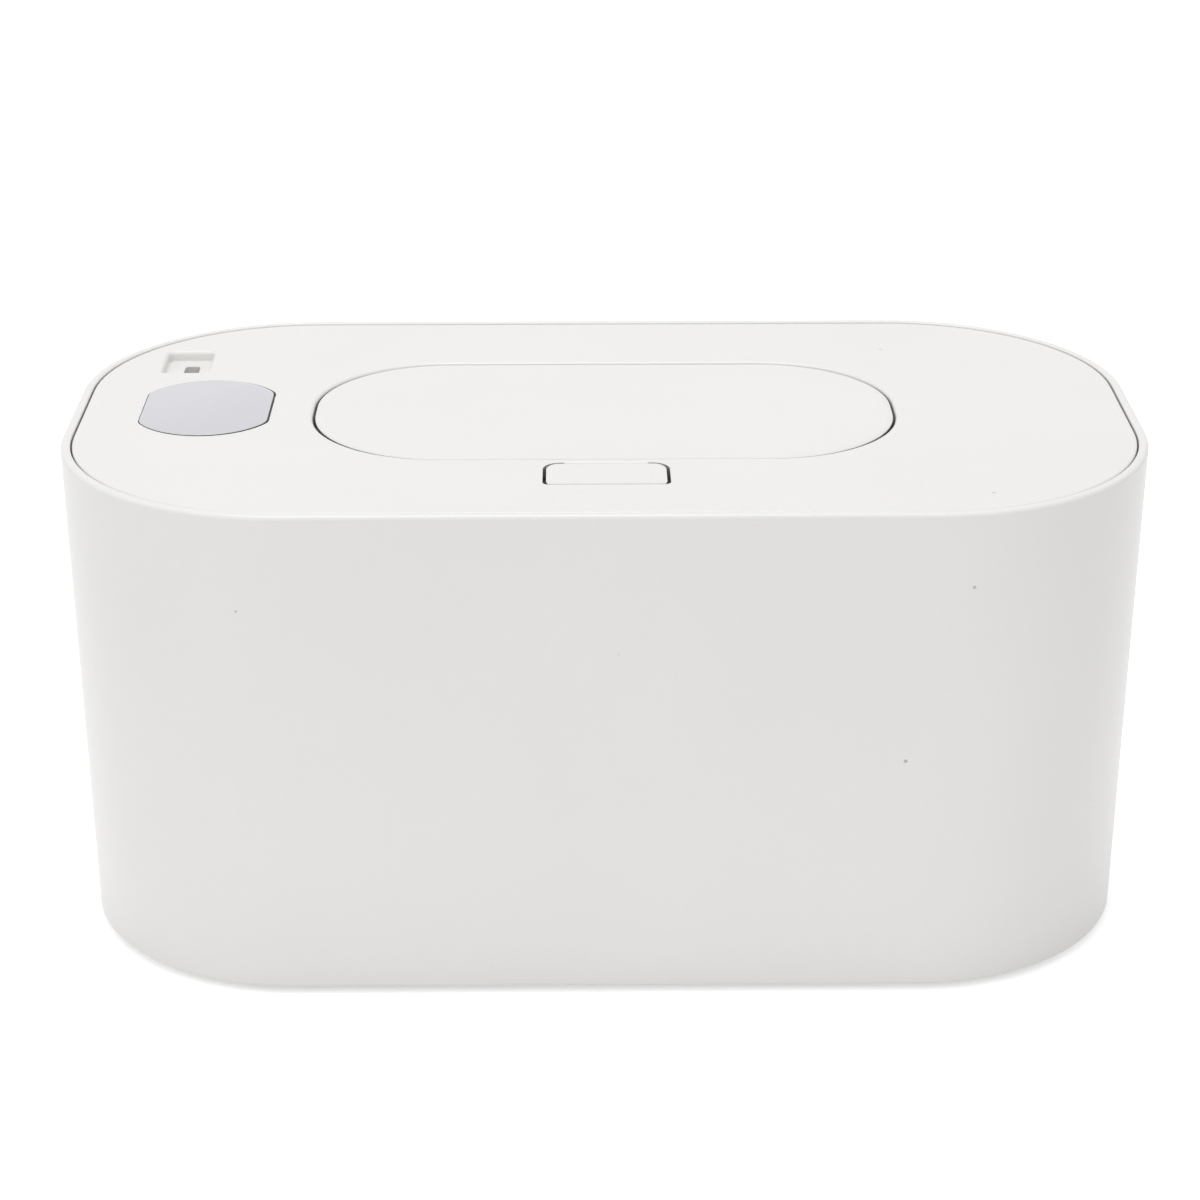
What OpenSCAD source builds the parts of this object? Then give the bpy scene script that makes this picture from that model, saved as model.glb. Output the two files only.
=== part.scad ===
// Baby wipe warmer: a drafted tub housing with a lift-off lid that holds the heater and its controls.
// Millimetres, +Z up, X along the length, the front faces -Y, the origin on the table at the centre.
// Every ring-shaped piece is one profile swept round the same corner centres: in such a profile
// x is the distance out from a corner centre and y is the height above the table.

/* [Body] */
// Length of the housing at its rim
body_l = 201; // [185:1:230]
// Depth of the housing at its rim, front to back
body_w = 111; // [108:1:135]
// Height of the rim above the table
body_h = 95.4; // [88:0.2:120]
// Corner radius of the housing at its rim
corner_r = 42.5; // [41:0.5:46]
// How far each wall leans in from the rim to the foot
draft = 1.4; // [0.2:0.1:1.8]
// Wall of the outer shell
shell_wall = 1.8; // [1.6:0.1:2.2]
// Round on the rim's outer edge
rim_round = 0.8; // [0.2:0.1:0.9]
// Round on the shell's bottom edge
foot_round = 1.5; // [0.5:0.1:2]
// Width of the ledge that carries the tub
ledge_w = 3.0; // [2.6:0.1:3.4]
// Thickness of the ledge
ledge_t = 2.0; // [1.4:0.1:2.6]
// Width of the flange that the bottom cover closes against
toe_w = 4.0; // [3:0.1:5]

/* [Base] */
// Thickness of the bottom cover
cover_t = 2.0; // [1.6:0.1:2.6]
// How far the bottom cover is set in above the shell's bottom edge
cover_inset = 0.6; // [0.2:0.1:1]
// Wall of the inner tub
tub_wall = 1.8; // [1.4:0.1:2.2]
// Floor of the inner tub
tub_floor_t = 2.0; // [1.8:0.1:2.6]
// Height of the tub's underside above the table
tub_floor_z = 8.5; // [8:0.1:10]
// How far each tub wall leans in from the flange to the floor
tub_draft = 1.2; // [0.4:0.1:2]
// Flange of the inner tub
flange_t = 2.0; // [1.6:0.1:2.6]
// Inner round between the tub's wall and floor
tub_round = 4.0; // [2.5:0.1:6]
// Thickness of the insulating foam band
foam_t = 2.6; // [1.5:0.1:2.8]
// Diameter of a rubber foot
foot_d = 12; // [11:0.5:14]
// How far a foot stands below the shell
foot_proud = 1.0; // [0.6:0.1:1.6]
// How far a foot is let into the bottom cover
foot_seat = 1.0; // [0.8:0.1:1.2]
// Distance of the feet from the centre along the length
foot_x = 68; // [60:1:72]
// Distance of the feet from the centre, front to back
foot_y = 28; // [24:1:29]

/* [Lid] */
// Gap between the lid and the rim
lid_gap = 0.25; // [0.2:0.05:0.5]
// How far the lid's top lies below the rim
lid_drop = 0.2; // [0:0.1:0.6]
// Top skin of the lid
skin_t = 2.2; // [2:0.1:2.6]
// Round on the lid's top edge
lid_round = 0.5; // [0.2:0.1:0.8]
// Skirt wall of the lid
skirt_t = 2.0; // [1.6:0.1:2.4]
// Height of the lid from its top skin to its underside
lid_depth = 16.2; // [16:0.1:17]
// Thickness of the lid's underplate
under_t = 2.0; // [1.8:0.1:2.4]
// Width of the sealing ring
gasket_w = 2.6; // [2:0.1:3]
// How far the sealing ring is let into the underplate
gasket_seat = 0.8; // [0.6:0.1:1.2]
// How far the sealing ring stands below the underplate
gasket_proud = 1.3; // [0.8:0.1:1.6]

/* [Flap] */
// Distance of the flap from the housing's front rim
front_deck = 29.5; // [28:0.1:31]
// Length of the flap
flap_l = 109.1; // [104:0.1:112]
// Depth of the flap, front to back
flap_w = 53.8; // [53.6:0.1:56]
// End radius of the flap
flap_r = 24.4; // [23.6:0.1:25.4]
// Thickness of the flap
flap_t = 1.8; // [1.6:0.1:2]
// Gap in front of and behind the flap
flap_gap = 0.35; // [0.25:0.05:0.4]
// Gap at the flap's two ends
flap_end_gap = 0.5; // [0.4:0.05:0.8]
// Depth of the well under the flap
well_depth = 9.2; // [9:0.1:9.4]
// Distance of the hinge axis behind the flap's back edge
hinge_back = 5.0; // [4.8:0.1:5.4]
// Depth of the hinge axis below the flap's top
hinge_down = 3.4; // [3.4:0.05:3.6]
// Diameter of the hinge pin
pin_d = 2.0; // [1.6:0.1:2.2]
// Opening angle of the flap
flap_open = 100; // [80:5:100]
// Width of each hinge arm
arm_w = 5.0; // [3:0.5:5]

/* [Button and latch] */
// Length of the release button
button_l = 21.6; // [20:0.2:24]
// Depth of the release button, front to back
button_w = 10.4; // [10:0.1:10.8]
// Width of the web between the flap and the button
button_web = 2.9; // [2.6:0.1:3]
// Gap at each side of the button
button_side_gap = 0.65; // [0.5:0.05:1.2]
// Gap in front of the button
button_front_gap = 0.55; // [0.3:0.05:0.7]
// Gap behind the button
button_back_gap = 0.2; // [0.15:0.05:0.4]
// Travel of the button and of the latch
latch_travel = 1.6; // [1.4:0.1:1.6]
// How far the latch reaches over the flap's catch
latch_grip = 1.0; // [0.6:0.1:1.1]

/* [Controls] */
// Depth of the lens, front to back
lens_d = 31.6; // [29:0.2:33]
// Radius of the lens's front and back edges
lens_end_r = 13.4; // [12.8:0.1:14]
// Width of the lens between its straight sides
lens_w = 24.2; // [23:0.2:25]
// Thickness of the lens
lens_t = 1.1; // [0.8:0.1:1.3]
// Distance of the lens centre from the housing's left end
lens_in = 25.1; // [24.1:0.2:25.5]
// Lens centre, front to back
lens_y = 2.2; // [-2:0.2:3]
// Length of the socket's recess, along X
recess_l = 9.0; // [8:0.1:9.4]
// Depth of the socket's recess, front to back
recess_w = 12.7; // [12:0.1:14]
// How deep the socket's recess is sunk
recess_d = 2.1; // [1.6:0.1:2.4]
// Distance of the socket's slot from the housing's left end
socket_in = 18.85; // [18.5:0.05:19.5]
// Distance of the socket's slot from the housing's back rim
socket_back = 27.3; // [27:0.1:28]
// Thickness of the circuit board
board_t = 1.6; // [1:0.1:1.6]

/* [Hidden] */
$fn = 96;
eps = 0.01;

// Corner centres of the housing, and of everything that follows its outline
cx = body_l / 2 - corner_r;
cy = body_w / 2 - corner_r;
// Corner centres of the flap, and of everything that follows its outline
fx = flap_l / 2 - flap_r;
fy = flap_w / 2 - flap_r;
// Corner centres of the well, which is longer than the flap
well_fx = fx + flap_end_gap - flap_gap;
// The flap's front edge, its middle and its back edge, front to back
flap_front = -body_w / 2 + front_deck;
flap_y = flap_front + flap_w / 2;
flap_back = flap_front + flap_w;

// Heights from the table up
shell_z = foot_proud;
cover_z = shell_z + cover_inset;
toe_z = cover_z + cover_t;
toe_t = 2.0;
lid_top = body_h - lid_drop;
skin_z = lid_top - skin_t;
under_z = lid_top - lid_depth;
under_top = under_z + under_t;
flange_top = under_z - gasket_proud;
ledge_z = flange_top - flange_t;

// Profile distances out from the housing's corner centres
function shell_r(z) = corner_r - draft * (body_h - z) / (body_h - shell_z);
pocket_r = corner_r - shell_wall;
ledge_r = pocket_r - ledge_w;
tub_gap = 0.4;
tub_r = ledge_r - tub_gap;
flange_r = pocket_r - tub_gap;
tub_in_r = tub_r - tub_wall;
lid_r = pocket_r - lid_gap;
skirt_r = lid_r - skirt_t;

// Feet and their screws
foot_top = cover_z + foot_seat;
base_boss_t = 1.6;
tub_boss_r = 4;
cover_boss_r = 5.5;
base_screw_head_r = 2.9;
base_screw_head_h = 1.4;
base_head_top = toe_z + base_boss_t - 1.2;
base_screw_r = 1.3;
pilot_gap = 0.05;
hole_gap = 0.3;

// Well of the flap and the way through it
well_z = lid_top - well_depth;
well_floor_t = 1.6;
well_wall = 1.6;
well_r = flap_r + flap_gap;
well_round = 0.8;
chute_r = 13.4;
chute_wall = 1.6;
lip_r = chute_r - 1.0;
lip_w = 1.6;
lip_h = 1.5;
outlet_r = chute_r - 2.0;
outlet_gap = 0.1;
outlet_t = 1.4;
outlet_hole_l = 52;
outlet_hole_w = 15;

// Flap, its seal and its hinge
flap_edge = 0.6;
crown_w = 1.5;
crown_drop = 0.35;
crown_r = (crown_w * crown_w + crown_drop * crown_drop) / (2 * crown_drop);
seal_w = 3.0;
seal_mid = lip_r + lip_w / 2;
seal_rib = 1.2;
seal_z = well_z + lip_h;
seal_show = 1.5;
hinge_y = flap_back + hinge_back;
hinge_z = lid_top - hinge_down;
pin_r = pin_d / 2;
pin_gap = 0.05;
barrel_r = pin_r + 0.9;
neck_r = norm([hinge_back - flap_gap, hinge_down]) + 0.35;
neck_t = 1.8;
arm_r = neck_r + neck_t;
arm_x = 21.5;
web_start = 262;
web_end = 285;
neck_top = 158;
thin_skin = 1.2;
arm_clear = 0.6;
hinge_rib_w = 2.2;
hinge_rib_outer = arm_x + arm_w / 2 + 1.2;
hinge_rib_inner = arm_x - arm_w / 2 - 6.2;
pin_l = 2 * (hinge_rib_outer + hinge_rib_w);
flap_wire_r = 0.25;
spring_mean_r = pin_r + 0.65;
spring_l = 3.4;
spring_x = -arm_x + arm_w / 2 + 0.4;
peg_down = 3.3;
spring_peg_r = 0.8;
spring_peg_l = 1.2;
spring_stop_y = hinge_y + 3.0;

// Button, latch slider and its spring
button_y = flap_front - button_web - button_w / 2;
button_bottom = lid_top - skin_t;
button_corner = 3.2;
button_front_corner = 1.2;
button_hole_round = 0.8;
slider_t = 2.5;
slider_top = button_bottom - latch_travel - 0.6;
slider_z = slider_top - slider_t;
slider_half = 8;
tongue_half = 5.5;
rail_t = 1.1;
run = 0.1;
catch_gap = 0.3;
catch_t = 1.8;
catch_back = flap_front + 3.2;
catch_front = catch_back - catch_t;
nose_y = flap_front - 0.2;
tongue_end = nose_y + latch_grip;
slider_back = flap_front - 3.0;
slider_front = slider_back - 12.5;
cam_half = 4;
cam_side_gap = 0.5;
cam_low_y = slider_front + 4.5;
cam_gap = 0.1;
window_back = slider_back - 1.5;
spring_r = 2.0;
spring_wire = 0.4;
spring_wall_y = slider_front - 5.3;
spring_wall_half = 4;
spring_wall_t = 1.2;
spring_wall_low = 1.5;
peg_r = 1.2;
peg_l = 1.5;

// Lens, recess and socket
lens_gap = 0.2;
lens_shift = 0.1;
lens_proud = 0.12;
lens_corner = 4.0;
touch_wire_r = 0.25;
window_margin = 2.0;
window_side = 3.5;
lens_x = -body_l / 2 + lens_in;
socket_x = -body_l / 2 + socket_in;
socket_y = body_w / 2 - socket_back;
recess_x = socket_x - 0.55;
recess_y = socket_y + 1.55;
recess_floor_t = 1.5;
recess_corner = 0.8;
recess_edge = 0.3;
recess_mouth = 0.8;
slot_l = 9.2;
slot_w = 3.0;
slot_corner = 0.9;
socket_l = 8.94;
socket_w = 3.16;
socket_wall = 0.3;
socket_top = lid_top - recess_d - recess_floor_t;
board_top = socket_top - 6.5;
board_z = board_top - board_t;
board_left = -body_l / 2 + 17.0;
board_right = -flap_l / 2 - flap_end_gap - well_wall - 2.5;
board_front = lens_y - 16;
board_back = socket_y + 8.4;
display_l = 16;
display_w = 12;
display_y = lens_y + 2;
touch_y = lens_y - 8;
touch_r = 2.0;

// Heater, hung under the lid's underplate
pad_t = 2.4;
film_t = 0.3;
plate_t = 1.2;
pad_z = under_z - pad_t;
film_z = pad_z - film_t;
plate_z = film_z - plate_t;
plate_r = tub_in_r - 2.1;
plate_rim = 0.8;
stack_gap = 0.2;

// Screw places
base_screw_at = [[-foot_x, -foot_y], [foot_x, -foot_y], [-foot_x, foot_y], [foot_x, foot_y]];
lid_screw_at = [[-cx - 29.7, 0], [cx + 29.7, 0], [-cx + 7.5, cy + 27], [cx - 7.5, cy + 27],
  [-cx - 2.5, -cy - 23], [cx + 2.5, -cy - 23]];
lid_boss_r = 3.0;
lid_screw_r = 1.1;
lid_head_r = 2.3;
lid_head_h = 1.2;
lid_screw_l = 8;
heater_screw_at = [for (i = [-1, 1], j = [-1, 1]) [i * (cx + 2.5), j * (cy + 11)]];
heater_boss_r = 2.6;
heater_boss_h = 2.0;
heater_head_r = 2.2;
heater_head_h = 1.0;
board_screw_at = [[board_right - 2.8, board_back - 3], [board_right - 2.8, board_front + 2.8],
  [board_left + 2.7, board_front + 2.8]];
board_boss_r = 2.3;
board_screw_r = 0.9;
board_head_r = 1.7;
board_head_h = 1.0;
fuse_at = [cx - 13.5, -cy - 17];
fuse_l = 7;
fuse_w = 4;
fuse_h = 2.1;
thermistor_at = [-cx + 17.5, -cy - 11];
thermistor_l = 3.6;
thermistor_r = 1.0;
leads_at = [board_right - 8.5, board_front - 6.5];
connector_y = board_front + 0.5;
connector_l = 6;
connector_w = 4.2;
connector_h = 4.4;
lead_up = 2.2;
lead_r = 0.6;
lead_pitch = 2.0;

// A profile swept round four corner centres
module around(ax, ay) {
  for (q = [0:3]) {
    a = q % 2 == 0 ? ax : ay;
    b = q % 2 == 0 ? ay : ax;
    rotate([0, 0, 90 * q]) translate([a, b, 0]) {
      rotate_extrude(angle = 90) children();
      rotate([90, 0, 0]) linear_extrude(2 * b) children();
    }
  }
}

// The flat middle that joins a swept profile across its corner centres
module middle(ax, ay, z, h) {
  translate([-ax, -ay, z]) cube([2 * ax, 2 * ay, h]);
}

// A flat plate whose outline lies r outside the corner centres
module round_plate(ax, ay, r, z, h) {
  translate([0, 0, z]) linear_extrude(h) {
    square([2 * (ax + r), 2 * ay], center = true);
    square([2 * ax, 2 * (ay + r)], center = true);
    for (i = [-1, 1], j = [-1, 1]) translate([i * ax, j * ay]) circle(r);
  }
}

// A rectangle of a profile, from x0 to x1 and z0 to z1
module band(x0, x1, z0, z1) {
  translate([x0, z0]) square([x1 - x0, z1 - z0]);
}

// What a round takes off a profile's corner: dx and dz say on which side the corner lies
module edge_cut(x, z, r, dx, dz) {
  translate([x, z]) scale([dx, dz]) translate([-r, -r]) difference() {
    square(r + eps);
    circle(r);
  }
}

// A rectangle with round corners, exact
module round_rect(l, w, r) {
  square([l, w - 2 * r], center = true);
  square([l - 2 * r, w], center = true);
  for (i = [-1, 1], j = [-1, 1]) translate([i * (l / 2 - r), j * (w / 2 - r)]) circle(r);
}

// A slot with round ends, long along Y
module slot_shape(l, w) {
  square([w, l - w], center = true);
  for (j = [-1, 1]) translate([0, j * (l - w) / 2]) circle(w / 2);
}

module at_flap() {
  translate([0, flap_y, 0]) children();
}

module at_each(places) {
  for (p = places) translate([p[0], p[1], 0]) children();
}

module post(r, z0, z1) {
  translate([0, 0, z0]) cylinder(r = r, h = z1 - z0);
}

// Pan-head screw that points up, its head from head_z to head_z + head_h
module screw_up(head_r, head_h, shank_r, head_z, tip_z) {
  post(head_r, head_z, head_z + head_h);
  post(shank_r, head_z + head_h - eps, tip_z);
}

// Pan-head screws have a cross recess
module screw_set(places, head_r, head_h, shank_r, head_z, tip_z) {
  slot = head_r * 0.3;
  at_each(places) difference() {
    screw_up(head_r, head_h, shank_r, head_z, tip_z);
    for (a = [0, 90]) rotate([0, 0, a])
      translate([-head_r * 0.6, -slot / 2, head_z - eps]) cube([head_r * 1.2, slot, head_h / 2]);
  }
}

function unit(v) = v / norm(v);

// Points along a coil about +Z, from the angle a0
function coil_path(mean_r, length, turns, a0 = 0, steps = 10) =
  [for (i = [0:turns * steps])
    let (a = a0 + 360 * i / steps) [mean_r * cos(a), mean_r * sin(a), length * i / (turns * steps)]];

// Wire along a path as one unbroken tube; up is a direction that the path never takes
module wire(path, r, up = [0, 0, 1], sides = 6) {
  last = len(path) - 1;
  points = [for (i = [0:last])
    let (
      ahead = unit(path[min(i + 1, last)] - path[max(i - 1, 0)]),
      side = unit(cross(ahead, up)),
      top = cross(side, ahead)
    )
    for (k = [0:sides - 1]) path[i] + r * (cos(360 * k / sides) * side + sin(360 * k / sides) * top)];
  walls = [for (i = [0:last - 1], k = [0:sides - 1])
    let (p = i * sides + k, q = i * sides + (k + 1) % sides)
    each [[p, q, q + sides], [p, q + sides, p + sides]]];
  start = [for (k = [1:sides - 2]) [0, k + 1, k]];
  end = [for (k = [1:sides - 2]) last * sides * [1, 1, 1] + [0, k, k + 1]];
  polyhedron(points, concat(walls, start, end));
}

// Base

module outer_shell() {
  foot_in = shell_r(shell_z) - shell_wall;
  ledge_in = shell_r(ledge_z) - shell_wall;
  color("whitesmoke") around(cx, cy) difference() {
    union() {
      polygon([
        [shell_r(shell_z), shell_z], [corner_r, body_h], [pocket_r, body_h],
        [pocket_r, ledge_z], [ledge_in, ledge_z], [foot_in, shell_z]
      ]);
      polygon([
        [ledge_r, ledge_z], [ledge_in + eps, ledge_z], [ledge_in + eps, ledge_z - ledge_t - ledge_w],
        [ledge_r, ledge_z - ledge_t]
      ]);
      band(foot_in - toe_w, foot_in + shell_wall / 2, toe_z, toe_z + toe_t);
    }
    edge_cut(corner_r, body_h, rim_round, 1, 1);
    edge_cut(pocket_r, body_h, rim_round / 2, -1, 1);
    edge_cut(shell_r(shell_z), shell_z, foot_round, 1, -1);
  }
}

module inner_tub() {
  foot_r = tub_r - tub_draft;
  floor_top = tub_floor_z + tub_floor_t;
  outer_round = tub_round + tub_wall;
  color("gainsboro") difference() {
    union() {
      around(cx, cy) {
        band(tub_in_r, flange_r, ledge_z, flange_top);
        difference() {
          polygon([[0, tub_floor_z], [foot_r, tub_floor_z], [tub_r, ledge_z + eps],
            [tub_in_r, ledge_z + eps], [foot_r - tub_wall, floor_top], [0, floor_top]]);
          edge_cut(foot_r, tub_floor_z, outer_round, 1, -1);
        }
        edge_cut(foot_r - tub_wall, floor_top, tub_round, 1, -1);
      }
      middle(cx, cy, tub_floor_z, tub_floor_t);
      at_each(base_screw_at) post(tub_boss_r, toe_z + base_boss_t, tub_floor_z + eps);
    }
    at_each(base_screw_at) post(base_screw_r + pilot_gap, toe_z + base_boss_t - eps, floor_top - 0.9);
  }
}

module insulation_sleeve() {
  z0 = toe_z + toe_t;
  z1 = ledge_z - ledge_t - ledge_w;
  r0 = shell_r(z0) - shell_wall - 0.2;
  r1 = shell_r(z1) - shell_wall - 0.2;
  color("lightgray") around(cx, cy)
    polygon([[r0, z0], [r1, z1], [r1 - foam_t, z1], [r0 - foam_t, z0]]);
}

module bottom_cover() {
  edge = shell_r(cover_z) - shell_wall - 0.3;
  color("gainsboro") difference() {
    union() {
      round_plate(cx, cy, edge, cover_z, cover_t);
      at_each(base_screw_at) post(cover_boss_r, toe_z - eps, toe_z + base_boss_t);
      // Stiffening ribs between the screw places
      for (j = [-1, 1]) translate([-foot_x, j * foot_y - 0.6, toe_z - eps])
        cube([2 * foot_x, 1.2, base_boss_t]);
    }
    at_each(base_screw_at) {
      post(foot_d / 2 + 0.1, cover_z - eps, foot_top);
      post(base_screw_head_r + hole_gap, cover_z, base_head_top);
      post(base_screw_r + hole_gap, cover_z, toe_z + base_boss_t + eps);
    }
  }
}

module rubber_feet() {
  color("dimgray") at_each(base_screw_at) rotate_extrude() difference() {
    band(0, foot_d / 2, 0, foot_top);
    edge_cut(foot_d / 2, 0, 0.5, 1, -1);
  }
}

module base_screws() {
  color("silver") screw_set(base_screw_at, base_screw_head_r, base_screw_head_h, base_screw_r,
    base_head_top - base_screw_head_h, tub_floor_z + tub_floor_t - 1.2);
}

// Lid

// Outline of the lens, grown by g: two round ends, straight sides and round corners
module lens_shape(g) {
  r = lens_end_r + g;
  e = lens_d / 2 - lens_end_r;
  a = lens_w / 2 + g;
  f = lens_corner;
  yc = sqrt(pow(r - f, 2) - pow(a - f, 2));
  difference() {
    intersection() {
      union() {
        for (j = [-1, 1]) translate([0, j * e]) circle(r);
        square([2 * r, 2 * e], center = true);
      }
      square([2 * a, 2 * (r + e)], center = true);
    }
    for (i = [-1, 1], j = [-1, 1]) scale([i, j]) translate([0, e])
      polygon([[a - f, yc], [a + eps, yc], (a + eps) * [1, yc / (a - f)]]);
  }
  for (i = [-1, 1], j = [-1, 1]) translate([i * (a - f), j * (e + yc)]) circle(f);
}

module lens_window_shape() {
  intersection() {
    circle(lens_d / 2 - window_margin);
    square([lens_w - 2 * window_side, lens_d], center = true);
  }
}

module button_shape(side, end) {
  l = button_l + 2 * side;
  w = button_w + 2 * end;
  r = button_corner;
  f = button_front_corner;
  difference() {
    union() {
      translate([0, -r / 2]) square([l, w - r], center = true);
      square([l - 2 * r, w], center = true);
      for (i = [-1, 1]) translate([i * (l / 2 - r), w / 2 - r]) circle(r);
    }
    for (i = [-1, 1]) translate([i * l / 2, -w / 2]) scale([i, 1]) translate([-f, f])
      difference() {
        translate([0, -f - eps]) square(f + eps);
        circle(f);
      }
  }
}

// Slots for the hinge arms; the left one also passes the spring's peg
module arm_slots() {
  for (i = [-1, 1])
    translate([i * arm_x - arm_w / 2 - arm_clear, hinge_y - arm_r - arm_clear, well_z - well_floor_t - eps])
      cube([arm_w + 2 * arm_clear + (i < 0 ? spring_peg_l : 0), arm_r,
        lid_top - thin_skin - well_z + well_floor_t]);
}

module hinge_rib(x) {
  y0 = flap_back + flap_gap + well_wall - eps;
  translate([x, 0, 0]) rotate([90, 0, 90]) linear_extrude(hinge_rib_w) {
    translate([hinge_y, hinge_z]) circle(barrel_r + 0.7);
    band(hinge_y - barrel_r - 0.7, hinge_y + barrel_r + 0.7, hinge_z, lid_top - thin_skin + eps);
    band(y0, hinge_y, hinge_z - barrel_r - 0.7, lid_top - thin_skin + eps);
  }
}

module lid_skin() {
  around(cx, cy) difference() {
    union() {
      band(0, lid_r, skin_z, lid_top);
      band(skirt_r, lid_r, under_top, skin_z + eps);
    }
    edge_cut(lid_r, lid_top, lid_round, 1, 1);
  }
  middle(cx, cy, skin_z, skin_t);
}

module flap_well() {
  around(well_fx, fy) band(well_r, well_r + well_wall, well_z - well_floor_t, skin_z + eps);
  around(fx, fy) {
    band(lip_r, well_r + well_wall, well_z - well_floor_t, well_z);
    difference() {
      band(lip_r, lip_r + lip_w, well_z - eps, well_z + lip_h);
      edge_cut(lip_r, well_z + lip_h, 0.4, -1, 1);
      edge_cut(lip_r + lip_w, well_z + lip_h, 0.4, 1, 1);
    }
  }
}

// What the socket's recess takes away, with soft edges
module recess_cut() {
  ax = recess_l / 2 - recess_corner;
  ay = recess_w / 2 - recess_corner;
  floor_z = lid_top - recess_d;
  around(ax, ay) {
    difference() {
      band(0, recess_corner, floor_z, lid_top + eps);
      edge_cut(recess_corner, floor_z, recess_edge, 1, -1);
    }
    edge_cut(recess_corner, lid_top, recess_mouth, -1, 1);
  }
  middle(ax, ay, floor_z, recess_d + eps);
}

// The hole round the button, its back edge well rounded
module button_hole() {
  shift = (button_back_gap - button_front_gap) / 2;
  half = button_l / 2 - button_corner;
  translate([0, button_y + shift, skin_z - latch_travel - 0.4])
    linear_extrude(skin_t + latch_travel + 1)
      button_shape(button_side_gap, (button_front_gap + button_back_gap) / 2);
  translate([-half, 0, 0]) rotate([90, 0, 90]) linear_extrude(2 * half)
    edge_cut(button_y + button_w / 2 + button_back_gap, lid_top, button_hole_round, -1, 1);
}

module lid_ribs() {
  rib = 1.2;
  deep = 5;
  // Ribs from the well to the skirt on the plain side, and along the back and the front
  for (y = [-14, 0, 14]) {
    x0 = well_fx + sqrt(pow(well_r + well_wall / 2, 2) - pow(max(abs(y) - fy, 0), 2));
    x1 = cx + sqrt(pow(skirt_r + skirt_t / 2, 2) - pow(max(abs(flap_y + y) + rib / 2 - cy, 0), 2));
    translate([x0, flap_y + y - rib / 2, skin_z - deep]) cube([x1 - x0, rib, deep + eps]);
  }
  for (i = [-1, 1]) {
    translate([i * (fx + 7.6) - rib / 2, flap_y + fy + well_r, skin_z - deep])
      cube([rib, cy + skirt_r - flap_y - fy - well_r + eps, deep + eps]);
    translate([i * (fx - 4.4) - rib / 2, -cy - skirt_r - eps, skin_z - deep])
      cube([rib, cy + skirt_r + flap_y - fy - well_r + eps, deep + eps]);
  }
}

module lid_cover() {
  color("whitesmoke") difference() {
    union() {
      difference() {
        union() {
          lid_skin();
          lid_ribs();
        }
        at_flap() {
          round_plate(well_fx, fy, well_r, skin_z - 10, 20);
          around(well_fx, fy) edge_cut(well_r, lid_top, well_round, -1, 1);
        }
      }
      at_flap() flap_well();
      at_each(lid_screw_at) post(lid_boss_r, under_top, skin_z + eps);
      at_each(board_screw_at) post(board_boss_r, board_top, skin_z + eps);
      // Thickened floor of the socket's recess
      translate([recess_x, recess_y, socket_top]) linear_extrude(lid_top - socket_top - eps)
        round_rect(recess_l + 3, recess_w + 3, recess_corner + 1);
      // Wall that the latch spring pushes against
      translate([-spring_wall_half, spring_wall_y - spring_wall_t, slider_z - spring_wall_low])
        cube([2 * spring_wall_half, spring_wall_t, skin_z - slider_z + spring_wall_low + eps]);
    }
    // Hinge: thinned skin, slots for the arms
    translate([-hinge_rib_outer - hinge_rib_w, flap_back + flap_gap - eps, skin_z - eps])
      cube([2 * (hinge_rib_outer + hinge_rib_w), 9, skin_t - thin_skin + eps]);
    arm_slots();
    // Button hole and the latch's window under the web
    button_hole();
    translate([-tongue_half - 0.4, flap_front - flap_gap - well_wall - 1, slider_z - 0.3])
      cube([2 * (tongue_half + 0.4), well_wall + 2, slider_t + 0.6]);
    // Lens seat, and the light's way through it
    translate([lens_x + lens_shift, lens_y - lens_shift, lid_top + lens_proud - lens_t])
      linear_extrude(lens_t + 1) lens_shape(lens_gap);
    translate([lens_x, lens_y, skin_z - eps]) linear_extrude(skin_t) lens_window_shape();
    translate([recess_x, recess_y, 0]) recess_cut();
    translate([socket_x, socket_y, socket_top - eps]) linear_extrude(recess_floor_t + 2 * eps)
      round_rect(slot_w, slot_l, slot_corner);
    at_each(lid_screw_at) post(lid_screw_r + pilot_gap, under_top - eps, under_top + 8);
    at_each(board_screw_at) post(board_screw_r + pilot_gap, board_top - eps, board_top + 6);
  }
  color("whitesmoke") difference() {
    for (x = [-hinge_rib_outer - hinge_rib_w, -hinge_rib_inner, hinge_rib_inner - hinge_rib_w,
      hinge_rib_outer]) hinge_rib(x);
    // Stop over the spring's other leg
    translate([spring_x, spring_stop_y, hinge_z - spring_mean_r + flap_wire_r + 0.05])
      cube([spring_l + 0.8, 1.2, hinge_down - thin_skin + spring_mean_r - flap_wire_r]);
    translate([-pin_l, hinge_y, hinge_z]) rotate([0, 90, 0]) cylinder(r = pin_r + 0.03, h = 2 * pin_l);
  }
}

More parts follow.
